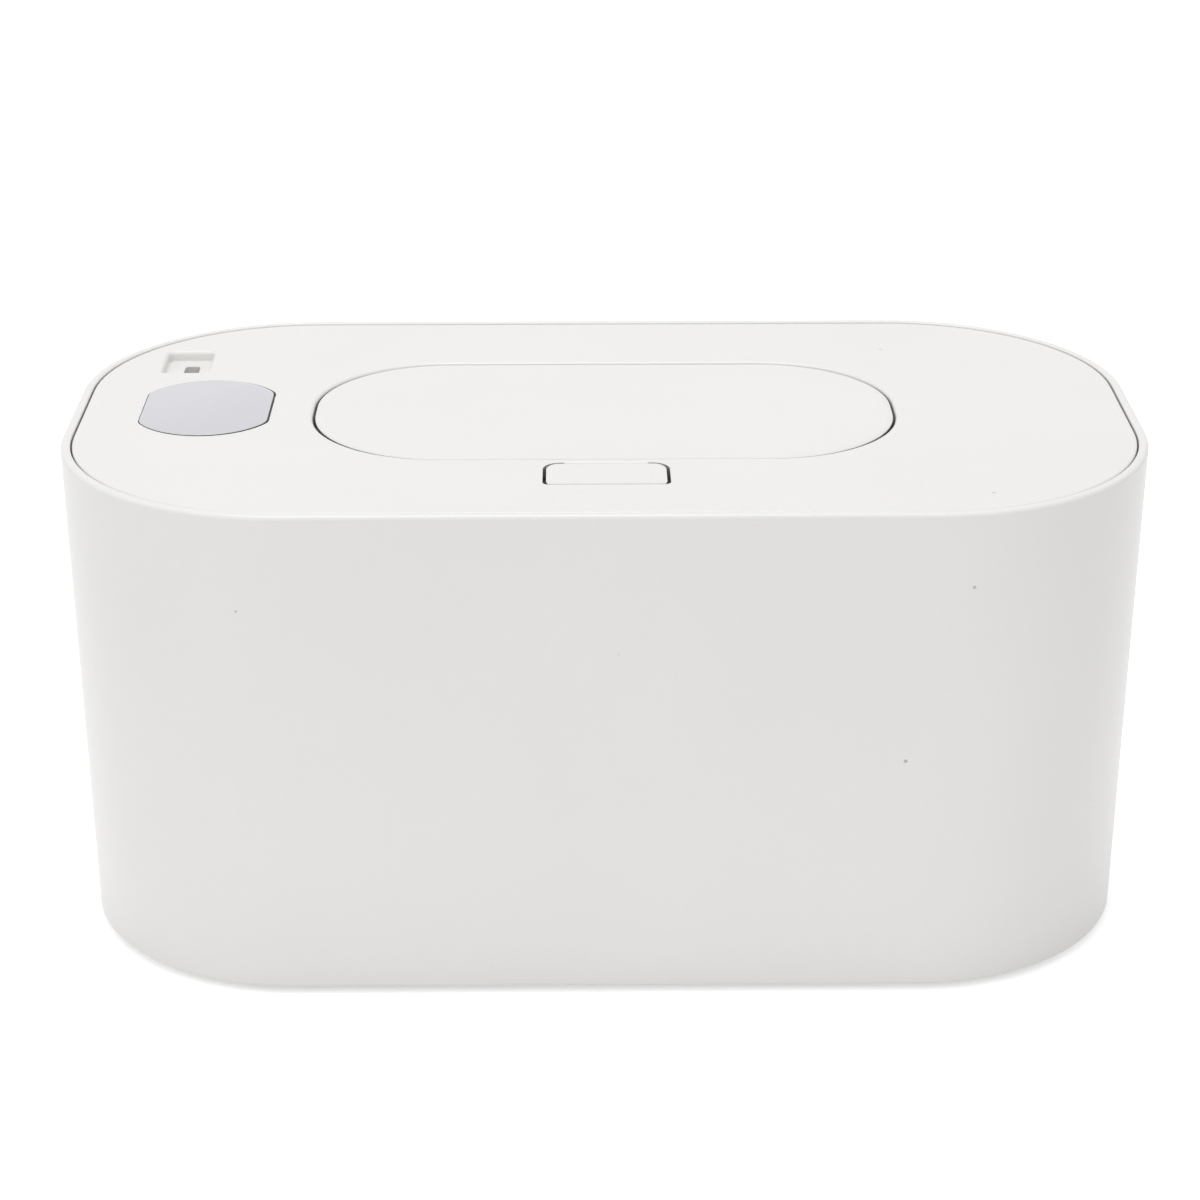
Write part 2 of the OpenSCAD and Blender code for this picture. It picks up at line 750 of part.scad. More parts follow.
module lid_underplate() {
  groove = tub_in_r + 0.9;
  locate_r = skirt_r - 0.15;
  color("gainsboro") difference() {
    union() {
      around(cx, cy) difference() {
        union() {
          band(0, lid_r - 0.3, under_z, under_top);
          band(locate_r - 1.2, locate_r, under_top - eps, under_top + 1.6);
        }
        band(groove, groove + gasket_w, under_z - eps, under_z + gasket_seat);
      }
      middle(cx, cy, under_z, under_t);
      at_flap() around(fx, fy) band(chute_r, chute_r + chute_wall, under_top - eps, well_z - well_floor_t);
      at_each(heater_screw_at) post(heater_boss_r, under_top - eps, under_top + heater_boss_h);
      latch_rails();
    }
    at_flap() round_plate(fx, fy, outlet_r, under_z - 1, 10);
    at_each(lid_screw_at) {
      post(lid_screw_r + hole_gap, under_z - eps, under_top + eps);
      post(lid_head_r + 0.2, under_z - eps, under_z + lid_head_h);
      post(lid_boss_r + 0.2, under_top, under_top + 4);
    }
    at_each(heater_screw_at) post(lid_screw_r + pilot_gap, under_z - eps, under_top + heater_boss_h - 0.6);
    translate([leads_at[0], leads_at[1], under_z - eps]) linear_extrude(under_t + 2 * eps)
      round_rect(2 * lead_pitch + 1, 2.4, 1.1);
  }
}

// Rails that carry and guide the latch slider
module latch_rails() {
  for (i = [-1, 1]) scale([i, 1, 1]) {
    translate([slider_half - 2.5, slider_front - latch_travel, under_top - eps])
      cube([2.5 + rail_t + 0.2, slider_back - slider_front + latch_travel - 1, slider_z - run - under_top]);
    translate([slider_half + 0.2, slider_front - latch_travel, under_top - eps])
      cube([rail_t, slider_back - slider_front + latch_travel - 1, slider_z + 1.7 - under_top]);
  }
}

module lid_gasket() {
  groove = tub_in_r + 0.9;
  color("white") around(cx, cy) difference() {
    band(groove, groove + gasket_w, flange_top, under_z + gasket_seat);
    edge_cut(groove, flange_top, 0.4, -1, -1);
    edge_cut(groove + gasket_w, flange_top, 0.4, 1, -1);
  }
}

module lid_screws() {
  color("silver") screw_set(lid_screw_at, lid_head_r, lid_head_h, lid_screw_r, under_z,
    under_z + lid_head_h + lid_screw_l);
}

module wipe_outlet() {
  rim_top = well_z - well_floor_t;
  color("white") at_flap() difference() {
    union() {
      around(fx, fy) band(outlet_r - 1, chute_r - outlet_gap, under_top, rim_top);
      round_plate(fx, fy, outlet_r - 0.5, under_top, outlet_t);
    }
    // Oval hole through which one wipe at a time is drawn
    translate([0, 0, under_top - eps]) linear_extrude(outlet_t + 2 * eps)
      rotate([0, 0, 90]) slot_shape(outlet_hole_l, outlet_hole_w);
  }
}

module heater_plate() {
  color("silver") difference() {
    union() {
      around(cx, cy) difference() {
        union() {
          band(0, plate_r, plate_z, plate_z + plate_t);
          band(plate_r - plate_rim, plate_r, plate_z, under_z);
        }
        edge_cut(plate_r, plate_z, 0.7, 1, -1);
      }
      middle(cx, cy, plate_z, plate_t);
      at_flap() around(fx, fy) band(outlet_r, outlet_r + plate_rim, plate_z, under_z);
    }
    at_flap() round_plate(fx, fy, outlet_r, plate_z - 1, plate_t + 2);
    at_each(heater_screw_at) post(lid_screw_r + hole_gap, plate_z - eps, plate_z + plate_t + eps);
  }
}

module heater_layer(z, t, out, inset) {
  difference() {
    round_plate(cx, cy, out, z, t);
    at_flap() round_plate(fx, fy, outlet_r + plate_rim + inset, z - 1, t + 2);
    at_each(heater_screw_at) post(lid_screw_r + 1, z - 1, z + t + 1);
  }
}

module heating_film() {
  color("orange") heater_layer(film_z, film_t, plate_r - plate_rim - 1.2, 1.2);
}

module heater_pad() {
  color("gray") difference() {
    heater_layer(pad_z, pad_t, plate_r - plate_rim - stack_gap, stack_gap);
    translate([fuse_at[0] - fuse_l / 2 - 1.5, fuse_at[1] - fuse_w / 2 - 0.4, pad_z - 1])
      cube([fuse_l + 3, fuse_w + 0.8, pad_t + 2]);
    translate([thermistor_at[0] - thermistor_l / 2 - 0.4, thermistor_at[1] - thermistor_r - 0.6, pad_z - 1])
      cube([thermistor_l + 0.8, 2 * thermistor_r + 1.2, pad_t + 2]);
    translate([leads_at[0], leads_at[1], pad_z - 1]) linear_extrude(pad_t + 2)
      round_rect(2 * lead_pitch + 1, 2.4, 1.1);
  }
}

module heater_screws() {
  color("silver") screw_set(heater_screw_at, heater_head_r, heater_head_h, lid_screw_r,
    plate_z - heater_head_h, under_top + heater_boss_h - 0.8);
}

module thermistor() {
  color("black") translate([thermistor_at[0], thermistor_at[1], film_z + film_t]) {
    translate([-thermistor_l / 2, 0, thermistor_r]) rotate([0, 90, 0])
      cylinder(r = thermistor_r, h = thermistor_l);
    translate([-thermistor_l / 2, -0.7, 0]) cube([thermistor_l, 1.4, thermistor_r]);
  }
}

module thermal_fuse() {
  color("silver") translate([fuse_at[0], fuse_at[1], film_z + film_t]) {
    translate([-fuse_l / 2, -fuse_w / 2, 0]) cube([fuse_l, fuse_w, fuse_h]);
    for (i = [-1, 1]) translate([i * (fuse_l / 2 + 0.5) - 0.6, -0.8, 0.4]) cube([1.2, 1.6, 0.4]);
  }
}

// Two leads that rise from the film and turn over into the board's connector
module heater_leads() {
  bend = 3;
  top = board_top + lead_up;
  color("red") for (i = [-1, 1]) translate([leads_at[0] + i * lead_pitch / 2, leads_at[1], 0]) {
    post(lead_r, film_z + film_t, top - bend);
    translate([0, bend, top - bend]) rotate([90, 0, -90])
      rotate_extrude(angle = 90) translate([bend, 0]) circle(lead_r);
    translate([0, bend, top]) rotate([-90, 0, 0])
      cylinder(r = lead_r, h = connector_y - leads_at[1] - bend + 2);
  }
}

module main_board() {
  color("seagreen") difference() {
    translate([board_left, board_front, board_z])
      cube([board_right - board_left, board_back - board_front, board_t]);
    at_each(board_screw_at) post(board_screw_r + 0.2, board_z - eps, board_top + eps);
    for (x = [board_left, board_right]) translate([x, board_back, board_z]) rotate([0, 0, 45])
      cube([4, 4, 4 * board_t], center = true);
  }
}

module board_components() {
  color("black") translate([board_right, display_y + display_w / 2, board_top]) {
    // Controller, capacitor, regulator, inductor, transistor and, on the underside, a second chip
    translate([-6.5, 11, 0]) cube([5, 5, 1]);
    translate([-9.5, 6.5, 0]) cylinder(r = 2.5, h = 5.4);
    translate([-5.5, 6, 0]) cube([4, 3, 1.2]);
    translate([-11.5, 22, 0]) cube([5, 3, 2]);
    translate([-4.5, 0.6, 0]) cube([3, 3, 1.6]);
    translate([-12, -6, -board_t - 1]) cube([4, 4, 1]);
  }
}

module heater_connector() {
  color("ivory") difference() {
    translate([leads_at[0] - connector_l / 2, connector_y, board_top])
      cube([connector_l, connector_w, connector_h]);
    for (i = [-1, 1]) translate([leads_at[0] + i * lead_pitch / 2, connector_y - eps, board_top + lead_up])
      rotate([-90, 0, 0]) cylinder(r = lead_r + 0.1, h = 2.4);
  }
}

module board_screws() {
  color("silver") screw_set(board_screw_at, board_head_r, board_head_h, board_screw_r,
    board_z - board_head_h, board_top + 5);
}

module usb_socket() {
  color("silver") translate([socket_x, socket_y, 0]) {
    translate([0, 0, board_top]) linear_extrude(socket_top - board_top) difference() {
      slot_shape(socket_l, socket_w);
      slot_shape(socket_l - 2 * socket_wall, socket_w - 2 * socket_wall);
    }
    translate([0, 0, board_top]) linear_extrude(1.2) slot_shape(socket_l, socket_w);
    translate([-0.35, -3.3, board_top + 1.2 - eps]) cube([0.7, 6.6, 4.6]);
  }
}

module display_lens() {
  z = lid_top + lens_proud - lens_t;
  color("lightsteelblue") translate([lens_x, lens_y, 0]) {
    translate([0, 0, z]) linear_extrude(lens_t - 0.25) lens_shape(0);
    translate([0, 0, z + lens_t - 0.25 - eps]) linear_extrude(0.25 + eps) lens_shape(-0.2);
  }
}

// Two figures of bars that light up through the lens
module display_module() {
  top = skin_z - 0.6;
  figure_l = display_l / 4;
  figure_w = display_w * 2 / 3;
  bar = 0.6;
  color("dimgray") translate([lens_x, display_y, 0]) difference() {
    translate([-display_l / 2, -display_w / 2, board_top]) cube([display_l, display_w, top - board_top]);
    for (d = [-1, 1]) translate([d * display_l * 0.24, 0, top - bar / 2]) {
      for (j = [-1, 0, 1]) translate([-figure_l / 2 + bar, j * figure_w / 2 - bar / 2, 0])
        cube([figure_l - 2 * bar, bar, bar]);
      for (i = [-1, 1], j = [-1, 1])
        translate([i * figure_l / 2 - bar / 2, j * figure_w / 4 - figure_w / 4 + bar, 0])
          cube([bar, figure_w / 2 - 2 * bar, bar]);
    }
  }
}

module touch_spring() {
  color("silver") translate([lens_x, touch_y, board_top + touch_wire_r])
    wire(coil_path(touch_r, lid_top + lens_proud - lens_t - board_top - 2 * touch_wire_r, 6), touch_wire_r);
}

module hinge_pin() {
  color("silver") translate([-pin_l / 2, hinge_y, hinge_z]) rotate([0, 90, 0])
    cylinder(r = pin_r, h = pin_l);
}

// Torsion spring beside the left arm. One leg hangs behind the arm's peg and pushes it forwards,
// the other lies under the lid's stop.
module flap_spring() {
  arm_leg = [[spring_mean_r, -peg_down - 1.2, 0]];
  lid_leg = [[0.5, -spring_mean_r, spring_l], [4.4, -spring_mean_r, spring_l]];
  path = concat(arm_leg, coil_path(spring_mean_r, spring_l, 5.75, 0, 12), lid_leg);
  color("gold") translate([spring_x, hinge_y, hinge_z])
    multmatrix([[0, 0, 1, 0], [1, 0, 0, 0], [0, 1, 0, 0]]) wire(path, flap_wire_r);
}

module latch_spring() {
  color("silver") translate([0, slider_front - run - spring_wire / 2, slider_z + slider_t / 2])
    rotate([90, 0, 0]) wire(coil_path(spring_r - spring_wire / 2,
      slider_front - spring_wall_y - 2 * run - spring_wire, 5), spring_wire / 2);
}

// Flap

// Side view of a hinge arm about the hinge axis, y to the right and z up
module arm_shape() {
  difference() {
    intersection() {
      circle(arm_r);
      polygon(concat([[0, 0]], [for (i = [0:12]) let (a = neck_top + (web_end - neck_top) * i / 12)
        2 * arm_r * [cos(a), sin(a)]]));
    }
    difference() {
      circle(neck_r);
      polygon([[0, 0], 2 * arm_r * [cos(web_start), sin(web_start)],
        2 * arm_r * [cos(web_end), sin(web_end)]]);
    }
  }
  circle(barrel_r);
}

module flap_catch() {
  z0 = well_z + catch_gap;
  nose_top = slider_z - catch_gap;
  translate([-tongue_half + 0.5, 0, 0]) rotate([90, 0, 90]) linear_extrude(2 * tongue_half - 1) {
    band(catch_front, catch_back, z0, lid_top - flap_t + eps);
    polygon([[catch_front + eps, z0], [nose_y + 0.8, z0], [nose_y, z0 + 0.8], [nose_y, nose_top],
      [catch_front + eps, nose_top]]);
  }
}

module flap() {
  under = lid_top - flap_t;
  rib_end = fy + seal_mid - seal_w / 2 - seal_rib / 2;
  color("whitesmoke") difference() {
    union() {
      at_flap() around(fx, fy) {
        difference() {
          polygon([[0, under], [flap_r - flap_t + flap_edge, under], [flap_r, lid_top - flap_edge],
            [flap_r, lid_top], [0, lid_top]]);
          // The top falls away softly towards its edge
          difference() {
            band(flap_r - crown_w, flap_r + eps, lid_top - crown_drop, lid_top + eps);
            translate([flap_r - crown_w, lid_top - crown_r]) circle(crown_r);
          }
        }
        for (s = [-1, 1])
          band(seal_mid + s * (seal_w + seal_rib) / 2 - seal_rib / 2,
            seal_mid + s * (seal_w + seal_rib) / 2 + seal_rib / 2, seal_z + seal_show, under + eps);
      }
      at_flap() middle(fx, fy, under, flap_t);
      for (i = [-1, 1]) translate([i * arm_x - arm_w / 2, 0, 0]) rotate([90, 0, 90])
        linear_extrude(arm_w) translate([hinge_y, hinge_z]) arm_shape();
      // Peg that the spring's leg pushes
      translate([-arm_x + arm_w / 2 - eps, hinge_y + spring_mean_r - flap_wire_r - spring_peg_r - 0.05,
        hinge_z - peg_down]) rotate([0, 90, 0]) cylinder(r = spring_peg_r, h = spring_peg_l);
      flap_catch();
      // Ribs across the underside, inside the seal
      for (x = [-24, -8, 8, 24]) translate([x - 0.6, flap_y - rib_end, under - 1.6])
        cube([1.2, 2 * rib_end, 1.6 + eps]);
    }
    translate([-pin_l, hinge_y, hinge_z]) rotate([0, 90, 0]) cylinder(r = pin_r + pin_gap, h = 2 * pin_l);
  }
}

module flap_seal() {
  color("white") at_flap() around(fx, fy) difference() {
    band(seal_mid - seal_w / 2, seal_mid + seal_w / 2, seal_z, lid_top - flap_t);
    edge_cut(seal_mid - seal_w / 2, seal_z, 0.5, -1, -1);
    edge_cut(seal_mid + seal_w / 2, seal_z, 0.5, 1, -1);
  }
}

// Button and latch

module release_button() {
  tab_top = skin_z - run;
  wedge_z = slider_top - latch_travel;
  low_y = cam_low_y + cam_gap + (slider_z - wedge_z);
  front = button_y - button_w / 2;
  color("whitesmoke") {
    intersection() {
      translate([0, button_y, button_bottom]) linear_extrude(skin_t) button_shape(0, 0);
      // Side view: the top's front edge is well rounded, the back edge lightly
      translate([-button_l, 0, 0]) rotate([90, 0, 90]) linear_extrude(2 * button_l) difference() {
        band(front, front + button_w, button_bottom, lid_top);
        edge_cut(front, lid_top, 1.2, -1, 1);
        edge_cut(front + button_w, lid_top, 0.4, 1, 1);
      }
    }
    for (i = [-1, 1]) scale([i, 1, 1]) {
      translate([button_l / 2 - 1.3, button_y - 3, skin_z - 1.8]) cube([1.2, 6, 1.8 + eps]);
      translate([button_l / 2 - 0.2, button_y - 2.5, tab_top - 1.4]) cube([2.4, 5, 1.4]);
    }
    // Wedge that drives the slider forwards
    translate([-cam_half, 0, 0]) rotate([90, 0, 90]) linear_extrude(2 * cam_half)
      polygon([[low_y, wedge_z], [front + 0.2, wedge_z + low_y - front - 0.2],
        [front + 0.2, button_bottom + eps], [window_back - latch_travel - 0.5, button_bottom + eps],
        [window_back - latch_travel - 0.5, wedge_z]]);
  }
}

module latch_slider() {
  color("gainsboro") difference() {
    union() {
      translate([-slider_half, slider_front, slider_z])
        cube([2 * slider_half, slider_back - slider_front, slider_t]);
      translate([-tongue_half, slider_back - eps, slider_z])
        cube([2 * tongue_half, tongue_end - slider_back, slider_t]);
      translate([0, slider_front + eps, slider_z + slider_t / 2]) rotate([90, 0, 0])
        cylinder(r = peg_r, h = peg_l);
    }
    translate([-cam_half - cam_side_gap, 0, 0]) rotate([90, 0, 90])
      linear_extrude(2 * (cam_half + cam_side_gap))
        polygon([[cam_low_y, slider_z - eps], [cam_low_y - slider_t - eps, slider_top + eps],
          [window_back, slider_top + eps], [window_back, slider_z - eps]]);
  }
}

outer_shell();
inner_tub();
insulation_sleeve();
bottom_cover();
rubber_feet();
base_screws();
lid_cover();
lid_underplate();
lid_gasket();
lid_screws();
wipe_outlet();
heater_plate();
heating_film();
heater_pad();
heater_screws();
thermistor();
thermal_fuse();
heater_leads();
main_board();
board_components();
heater_connector();
board_screws();
usb_socket();
display_lens();
display_module();
touch_spring();
hinge_pin();
flap_spring();
latch_spring();
flap();
flap_seal();
release_button();
latch_slider();
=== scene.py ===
"""Looks of a baby wipe warmer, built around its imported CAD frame."""

import math

import bmesh
import bpy
from mathutils import Matrix, Vector


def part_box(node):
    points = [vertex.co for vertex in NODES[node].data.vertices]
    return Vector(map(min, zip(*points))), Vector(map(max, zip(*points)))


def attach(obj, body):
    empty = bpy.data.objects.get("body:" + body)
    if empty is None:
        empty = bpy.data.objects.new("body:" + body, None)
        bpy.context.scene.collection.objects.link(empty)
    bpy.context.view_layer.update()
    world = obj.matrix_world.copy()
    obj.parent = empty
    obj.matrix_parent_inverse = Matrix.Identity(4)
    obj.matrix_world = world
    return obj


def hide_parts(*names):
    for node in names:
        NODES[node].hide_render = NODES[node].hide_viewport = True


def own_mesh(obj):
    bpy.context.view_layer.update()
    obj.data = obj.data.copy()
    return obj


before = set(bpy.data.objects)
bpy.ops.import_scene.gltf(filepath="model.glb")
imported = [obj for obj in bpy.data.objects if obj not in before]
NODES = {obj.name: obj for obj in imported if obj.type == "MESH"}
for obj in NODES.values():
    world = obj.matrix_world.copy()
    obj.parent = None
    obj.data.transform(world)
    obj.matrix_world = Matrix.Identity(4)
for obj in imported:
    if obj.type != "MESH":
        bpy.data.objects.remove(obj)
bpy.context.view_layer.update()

bl_info = {
    "name": "Wipe Warmer Looks",
    "version": (1, 1, 0),
    "blender": (4, 5, 0),
    "location": "View3D > Sidebar > Wipe Warmer",
    "description": "Finishes, lens, springs and board parts for a wipe warmer, and its studio",
    "category": "Object",
}

MM = 0.001
SHARP = math.radians(35)  # Edges that turn by more than this stay sharp
WAVE_TURN = 2 * math.pi / 20  # Blender's wave texture turns once in this much of its own length
SIDEWAYS = Matrix.Rotation(math.pi / 2, 4, "X")  # Turns +Z to -Y
ALONG_X = Matrix(((0, 0, 1, 0), (1, 0, 0, 0), (0, 1, 0, 0), (0, 0, 0, 1)))  # Turns +Z to +X


# Colours and properties

def colour(code):
    """An sRGB hex code as linear RGB."""
    parts = [int(code[i:i + 2], 16) / 255 for i in (0, 2, 4)]
    return tuple(c / 12.92 if c <= 0.04045 else ((c + 0.055) / 1.055) ** 2.4 for c in parts)


def scaled(rgb, factor):
    """A colour made darker, or paler, by a factor."""
    return tuple(c * factor for c in rgb)


def paint(name, description, code):
    return bpy.props.FloatVectorProperty(name=name, description=description, default=colour(code),
                                         subtype="COLOR", size=3, min=0, max=1)


def size(name, description, millimetres):
    return bpy.props.FloatProperty(name=name, description=description, default=millimetres * MM,
                                   unit="LENGTH", precision=5, min=0)


def share(name, description, value):
    return bpy.props.FloatProperty(name=name, description=description, default=value,
                                   subtype="FACTOR", min=0, max=1)


def number(name, description, value, **more):
    return bpy.props.FloatProperty(name=name, description=description, default=value, **more)


# Materials

def blank(name):
    """An empty material and its node tree."""
    made = bpy.data.materials.new(name)
    made.use_nodes = True
    made.node_tree.nodes.clear()
    return made, made.node_tree


def add(tree, kind, values=None, links=None, stops=(), **settings):
    """Adds a shader node with its settings, its sockets' values, what feeds them and, on a ramp,
    its stops. What feeds a socket is another socket, or a node for its first output in use."""
    made = tree.nodes.new("ShaderNode" + kind)
    for name, value in settings.items():
        setattr(made, name, value)
    for name, value in (values or {}).items():
        made.inputs[name].default_value = value
    for name, source in (links or {}).items():
        if isinstance(source, bpy.types.Node):
            source = next(output for output in source.outputs if output.enabled)
        tree.links.new(source, made.inputs[name])
    if stops:
        band = made.color_ramp.elements
        while len(band) < len(stops):
            band.new(0.5)
        for element, (place, tint) in zip(band, stops):
            element.position, element.color = place, (*tint, 1)
    return made


def moulded_plastic(name, body, gloss=0.4, grain=0.45 * MM, ior=1.53, specks=None, painted_shade=None):
    """Injection-moulded plastic: an even body colour that drifts a little with the flow of the
    melt, slight sinks, and the spark-eroded grain of the mould, which breaks up the gloss. That
    grain is about 0.1 mm on the real thing, and is drawn coarser so that it shows. specks is the
    colour of burnt resin in it. The last argument paints shade into gaps and corners: how far
    into the open the painted shade reaches, and what it leaves of the colour in the gap and in a
    corner."""
    made, tree = blank(name)
    place = add(tree, "TexCoord").outputs["Object"]
    flow = add(tree, "TexNoise", {"Scale": 1 / (38 * MM)}, {"Vector": place})
    tint = add(tree, "ValToRGB", links={"Fac": flow},
               stops=((0.3, scaled(body, 0.985)), (0.7, body)))
    if specks is not None:
        apart, radius = 13.5 * MM, 0.36 * MM
        cell = add(tree, "TexVoronoi", {"Scale": 1 / apart}, {"Vector": place}, feature="F1")
        near = add(tree, "Math", {1: radius / apart}, {0: cell}, operation="LESS_THAN")
        seen = add(tree, "Math", links={0: near, 1: cell.outputs["Color"]}, operation="MULTIPLY")
        tint = add(tree, "Mix", {"B": (*specks, 1)}, {"Factor": seen, "A": tint},
                   data_type="RGBA")
    # Painted shade: an Ambient Occlusion node darkens the colour in gaps and corners
    if painted_shade is not None:
        reach, in_gap, in_corner = painted_shade
        open_sky = add(tree, "AmbientOcclusion", {"Distance": reach}, samples=8).outputs["AO"]
        shade = add(tree, "ValToRGB", links={"Fac": open_sky},
                    stops=((0.1, (in_gap,) * 3), (0.6, (in_corner,) * 3), (0.95, (1, 1, 1))))
        tint = add(tree, "Mix", {"Factor": 1.0}, {"A": tint, "B": shade}, data_type="RGBA",
                   blend_type="MULTIPLY")
    sinks = add(tree, "TexNoise", {"Scale": 1 / (24 * MM), "Detail": 1.0}, {"Vector": place})
    relief = add(tree, "Bump", {"Strength": 0.35, "Distance": 0.03 * MM}, {"Height": sinks})
    pits = add(tree, "TexNoise", {"Scale": 1 / grain, "Roughness": 0.6}, {"Vector": place})
    relief = add(tree, "Bump", {"Strength": 0.5, "Distance": 0.006 * MM},
                 {"Height": pits, "Normal": relief})
    rough = add(tree, "MapRange", {"To Min": gloss - 0.05, "To Max": gloss + 0.06},
                {"Value": pits})
    skin = add(tree, "BsdfPrincipled", {"IOR": ior},
               {"Base Color": tint, "Roughness": rough, "Normal": relief})
    add(tree, "OutputMaterial", links={"Surface": skin})
    return made


def soft_rubber(name, body, gloss=0.6, bloom=1.03):
    """Silicone or rubber: matt and slightly soft at its edges, with a faint bloom in clouds."""
    made, tree = blank(name)
    place = add(tree, "TexCoord").outputs["Object"]
    cloud = add(tree, "TexNoise", {"Scale": 1 / (9 * MM), "Detail": 3.0}, {"Vector": place})
    bloomed = tuple(min(c * bloom, 1) for c in body)
    tint = add(tree, "ValToRGB", links={"Fac": cloud},
               stops=((0.35, scaled(body, 0.96)), (0.68, bloomed)))
    pits = add(tree, "TexNoise", {"Scale": 1 / (0.3 * MM), "Roughness": 0.7}, {"Vector": place})
    relief = add(tree, "Bump", {"Strength": 0.5, "Distance": 0.01 * MM}, {"Height": pits})
    rough = add(tree, "MapRange", {"To Min": gloss - 0.08, "To Max": gloss + 0.1},
                {"Value": cloud})
    skin = add(tree, "BsdfPrincipled", {"IOR": 1.43, "Sheen Weight": 0.15},
               {"Base Color": tint, "Roughness": rough, "Normal": relief})
    add(tree, "OutputMaterial", links={"Surface": skin})
    return made


def plated_metal(name, body, gloss=0.3, stretch=(1, 1, 1), grain=0.6 * MM):
    """Plated, drawn or anodised metal: brushed lines where it is stretched one way, a tumbled
    cloud where it isn't, both in its colour and in its gloss. Both are drawn coarser than the
    real ones, which are under 0.1 mm, so that they show."""
    made, tree = blank(name)
    place = add(tree, "Mapping", {"Scale": stretch},
                {"Vector": add(tree, "TexCoord").outputs["Object"]})
    lines = add(tree, "TexNoise", {"Scale": 1 / grain, "Detail": 3.0, "Roughness": 0.65},
                {"Vector": place})
    tint = add(tree, "ValToRGB", links={"Fac": lines},
               stops=((0.3, scaled(body, 0.84)), (0.7, body)))
    relief = add(tree, "Bump", {"Strength": 0.4, "Distance": 0.004 * MM}, {"Height": lines})
    rough = add(tree, "MapRange", {"To Min": gloss - 0.08, "To Max": gloss + 0.1},
                {"Value": lines})
    skin = add(tree, "BsdfPrincipled", {"Metallic": 1.0},
               {"Base Color": tint, "Roughness": rough, "Normal": relief})
    add(tree, "OutputMaterial", links={"Surface": skin})
    return made


def moulded_acrylic(name, body, gloss):
    """Moulded acrylic: cool and smooth, with the faint orange peel of a moulded window."""
    made, tree = blank(name)
    place = add(tree, "TexCoord").outputs["Object"]
    drift = add(tree, "TexNoise", {"Scale": 1 / (18 * MM), "Detail": 1.0}, {"Vector": place})
    tint = add(tree, "ValToRGB", links={"Fac": drift},
               stops=((0.3, scaled(body, 0.99)), (0.7, body)))
    peel = add(tree, "TexNoise", {"Scale": 1 / (5 * MM), "Detail": 1.0}, {"Vector": place})
    relief = add(tree, "Bump", {"Strength": 0.3, "Distance": 0.01 * MM}, {"Height": peel})
    rough = add(tree, "MapRange", {"To Min": gloss - 0.02, "To Max": gloss + 0.02},
                {"Value": drift})
    skin = add(tree, "BsdfPrincipled", {"IOR": 1.49},
               {"Base Color": tint, "Roughness": rough, "Normal": relief})
    add(tree, "OutputMaterial", links={"Surface": skin})
    return made


def closed_cell_foam(name, body):
    """Closed-cell polyethylene foam: its bubbles, about 0.9 mm, show as shallow pits, and
    painted shade darkens the colour towards the bottom of each pit.
    """
    made, tree = blank(name)
    place = add(tree, "TexCoord").outputs["Object"]
    cells = add(tree, "TexVoronoi", {"Scale": 1 / (0.9 * MM)}, {"Vector": place}, feature="F1")
    # Painted shade: darker towards the bottom of each pit
    tint = add(tree, "ValToRGB", links={"Fac": cells},
               stops=((0.0, scaled(body, 0.72)), (0.6, body)))
    relief = add(tree, "Bump", {"Strength": 0.7, "Distance": 0.15 * MM}, {"Height": cells})
    skin = add(tree, "BsdfPrincipled", {"Roughness": 0.85, "IOR": 1.4},
               {"Base Color": tint, "Normal": relief})
    add(tree, "OutputMaterial", links={"Surface": skin})
    return made


def heating_foil(name, film, track, pitch):
    """Polyimide heating film: clear amber, with the etched metal track in rows under it."""
    made, tree = blank(name)
    place = add(tree, "TexCoord").outputs["Object"]
    rows = add(tree, "TexWave", {"Scale": WAVE_TURN / pitch}, {"Vector": place},
               wave_type="BANDS", bands_direction="X").outputs["Fac"]
    tint = add(tree, "ValToRGB", links={"Fac": rows}, stops=((0.45, film), (0.55, track)))
    relief = add(tree, "Bump", {"Strength": 0.3, "Distance": 0.03 * MM}, {"Height": rows})
    smear = add(tree, "TexNoise", {"Scale": 1 / (3 * MM)}, {"Vector": place})
    rough = add(tree, "MapRange", {"To Min": 0.24, "To Max": 0.36}, {"Value": smear})
    skin = add(tree, "BsdfPrincipled", {"IOR": 1.6, "Coat Weight": 0.5},
               {"Base Color": tint, "Roughness": rough, "Normal": relief})
    add(tree, "OutputMaterial", links={"Surface": skin})
    return made


def solder_mask(name, mask, tin):
    """Solder mask over etched copper: the copper lies under it as paler, raised islands about
    2.6 mm apart, and bright specks are tinned through-holes of 0.35 mm radius."""
    made, tree = blank(name)
    place = add(tree, "TexCoord").outputs["Object"]
    islands = add(tree, "TexVoronoi", {"Scale": 1 / (2.6 * MM)}, {"Vector": place},
                  feature="F1", distance="MANHATTAN")
    copper = add(tree, "ValToRGB", links={"Fac": islands},
                 stops=((0.42, scaled(mask, 1.9)), (0.5, mask)))
    apart, radius = 4.4 * MM, 0.352 * MM
    holes = add(tree, "TexVoronoi", {"Scale": 1 / apart}, {"Vector": place}, feature="F1")
    near = add(tree, "Math", {1: radius / apart}, {0: holes}, operation="LESS_THAN")
    tint = add(tree, "Mix", {"B": (*tin, 1)}, {"Factor": near, "A": copper}, data_type="RGBA")
    relief = add(tree, "Bump", {"Strength": 0.4, "Distance": 0.03 * MM}, {"Height": copper})
    rough = add(tree, "MapRange", {"To Min": 0.22, "To Max": 0.34}, {"Value": islands})
    skin = add(tree, "BsdfPrincipled", {"IOR": 1.55, "Coat Weight": 0.4},
               {"Base Color": tint, "Roughness": rough, "Normal": relief})
    add(tree, "OutputMaterial", links={"Surface": skin})
    return made


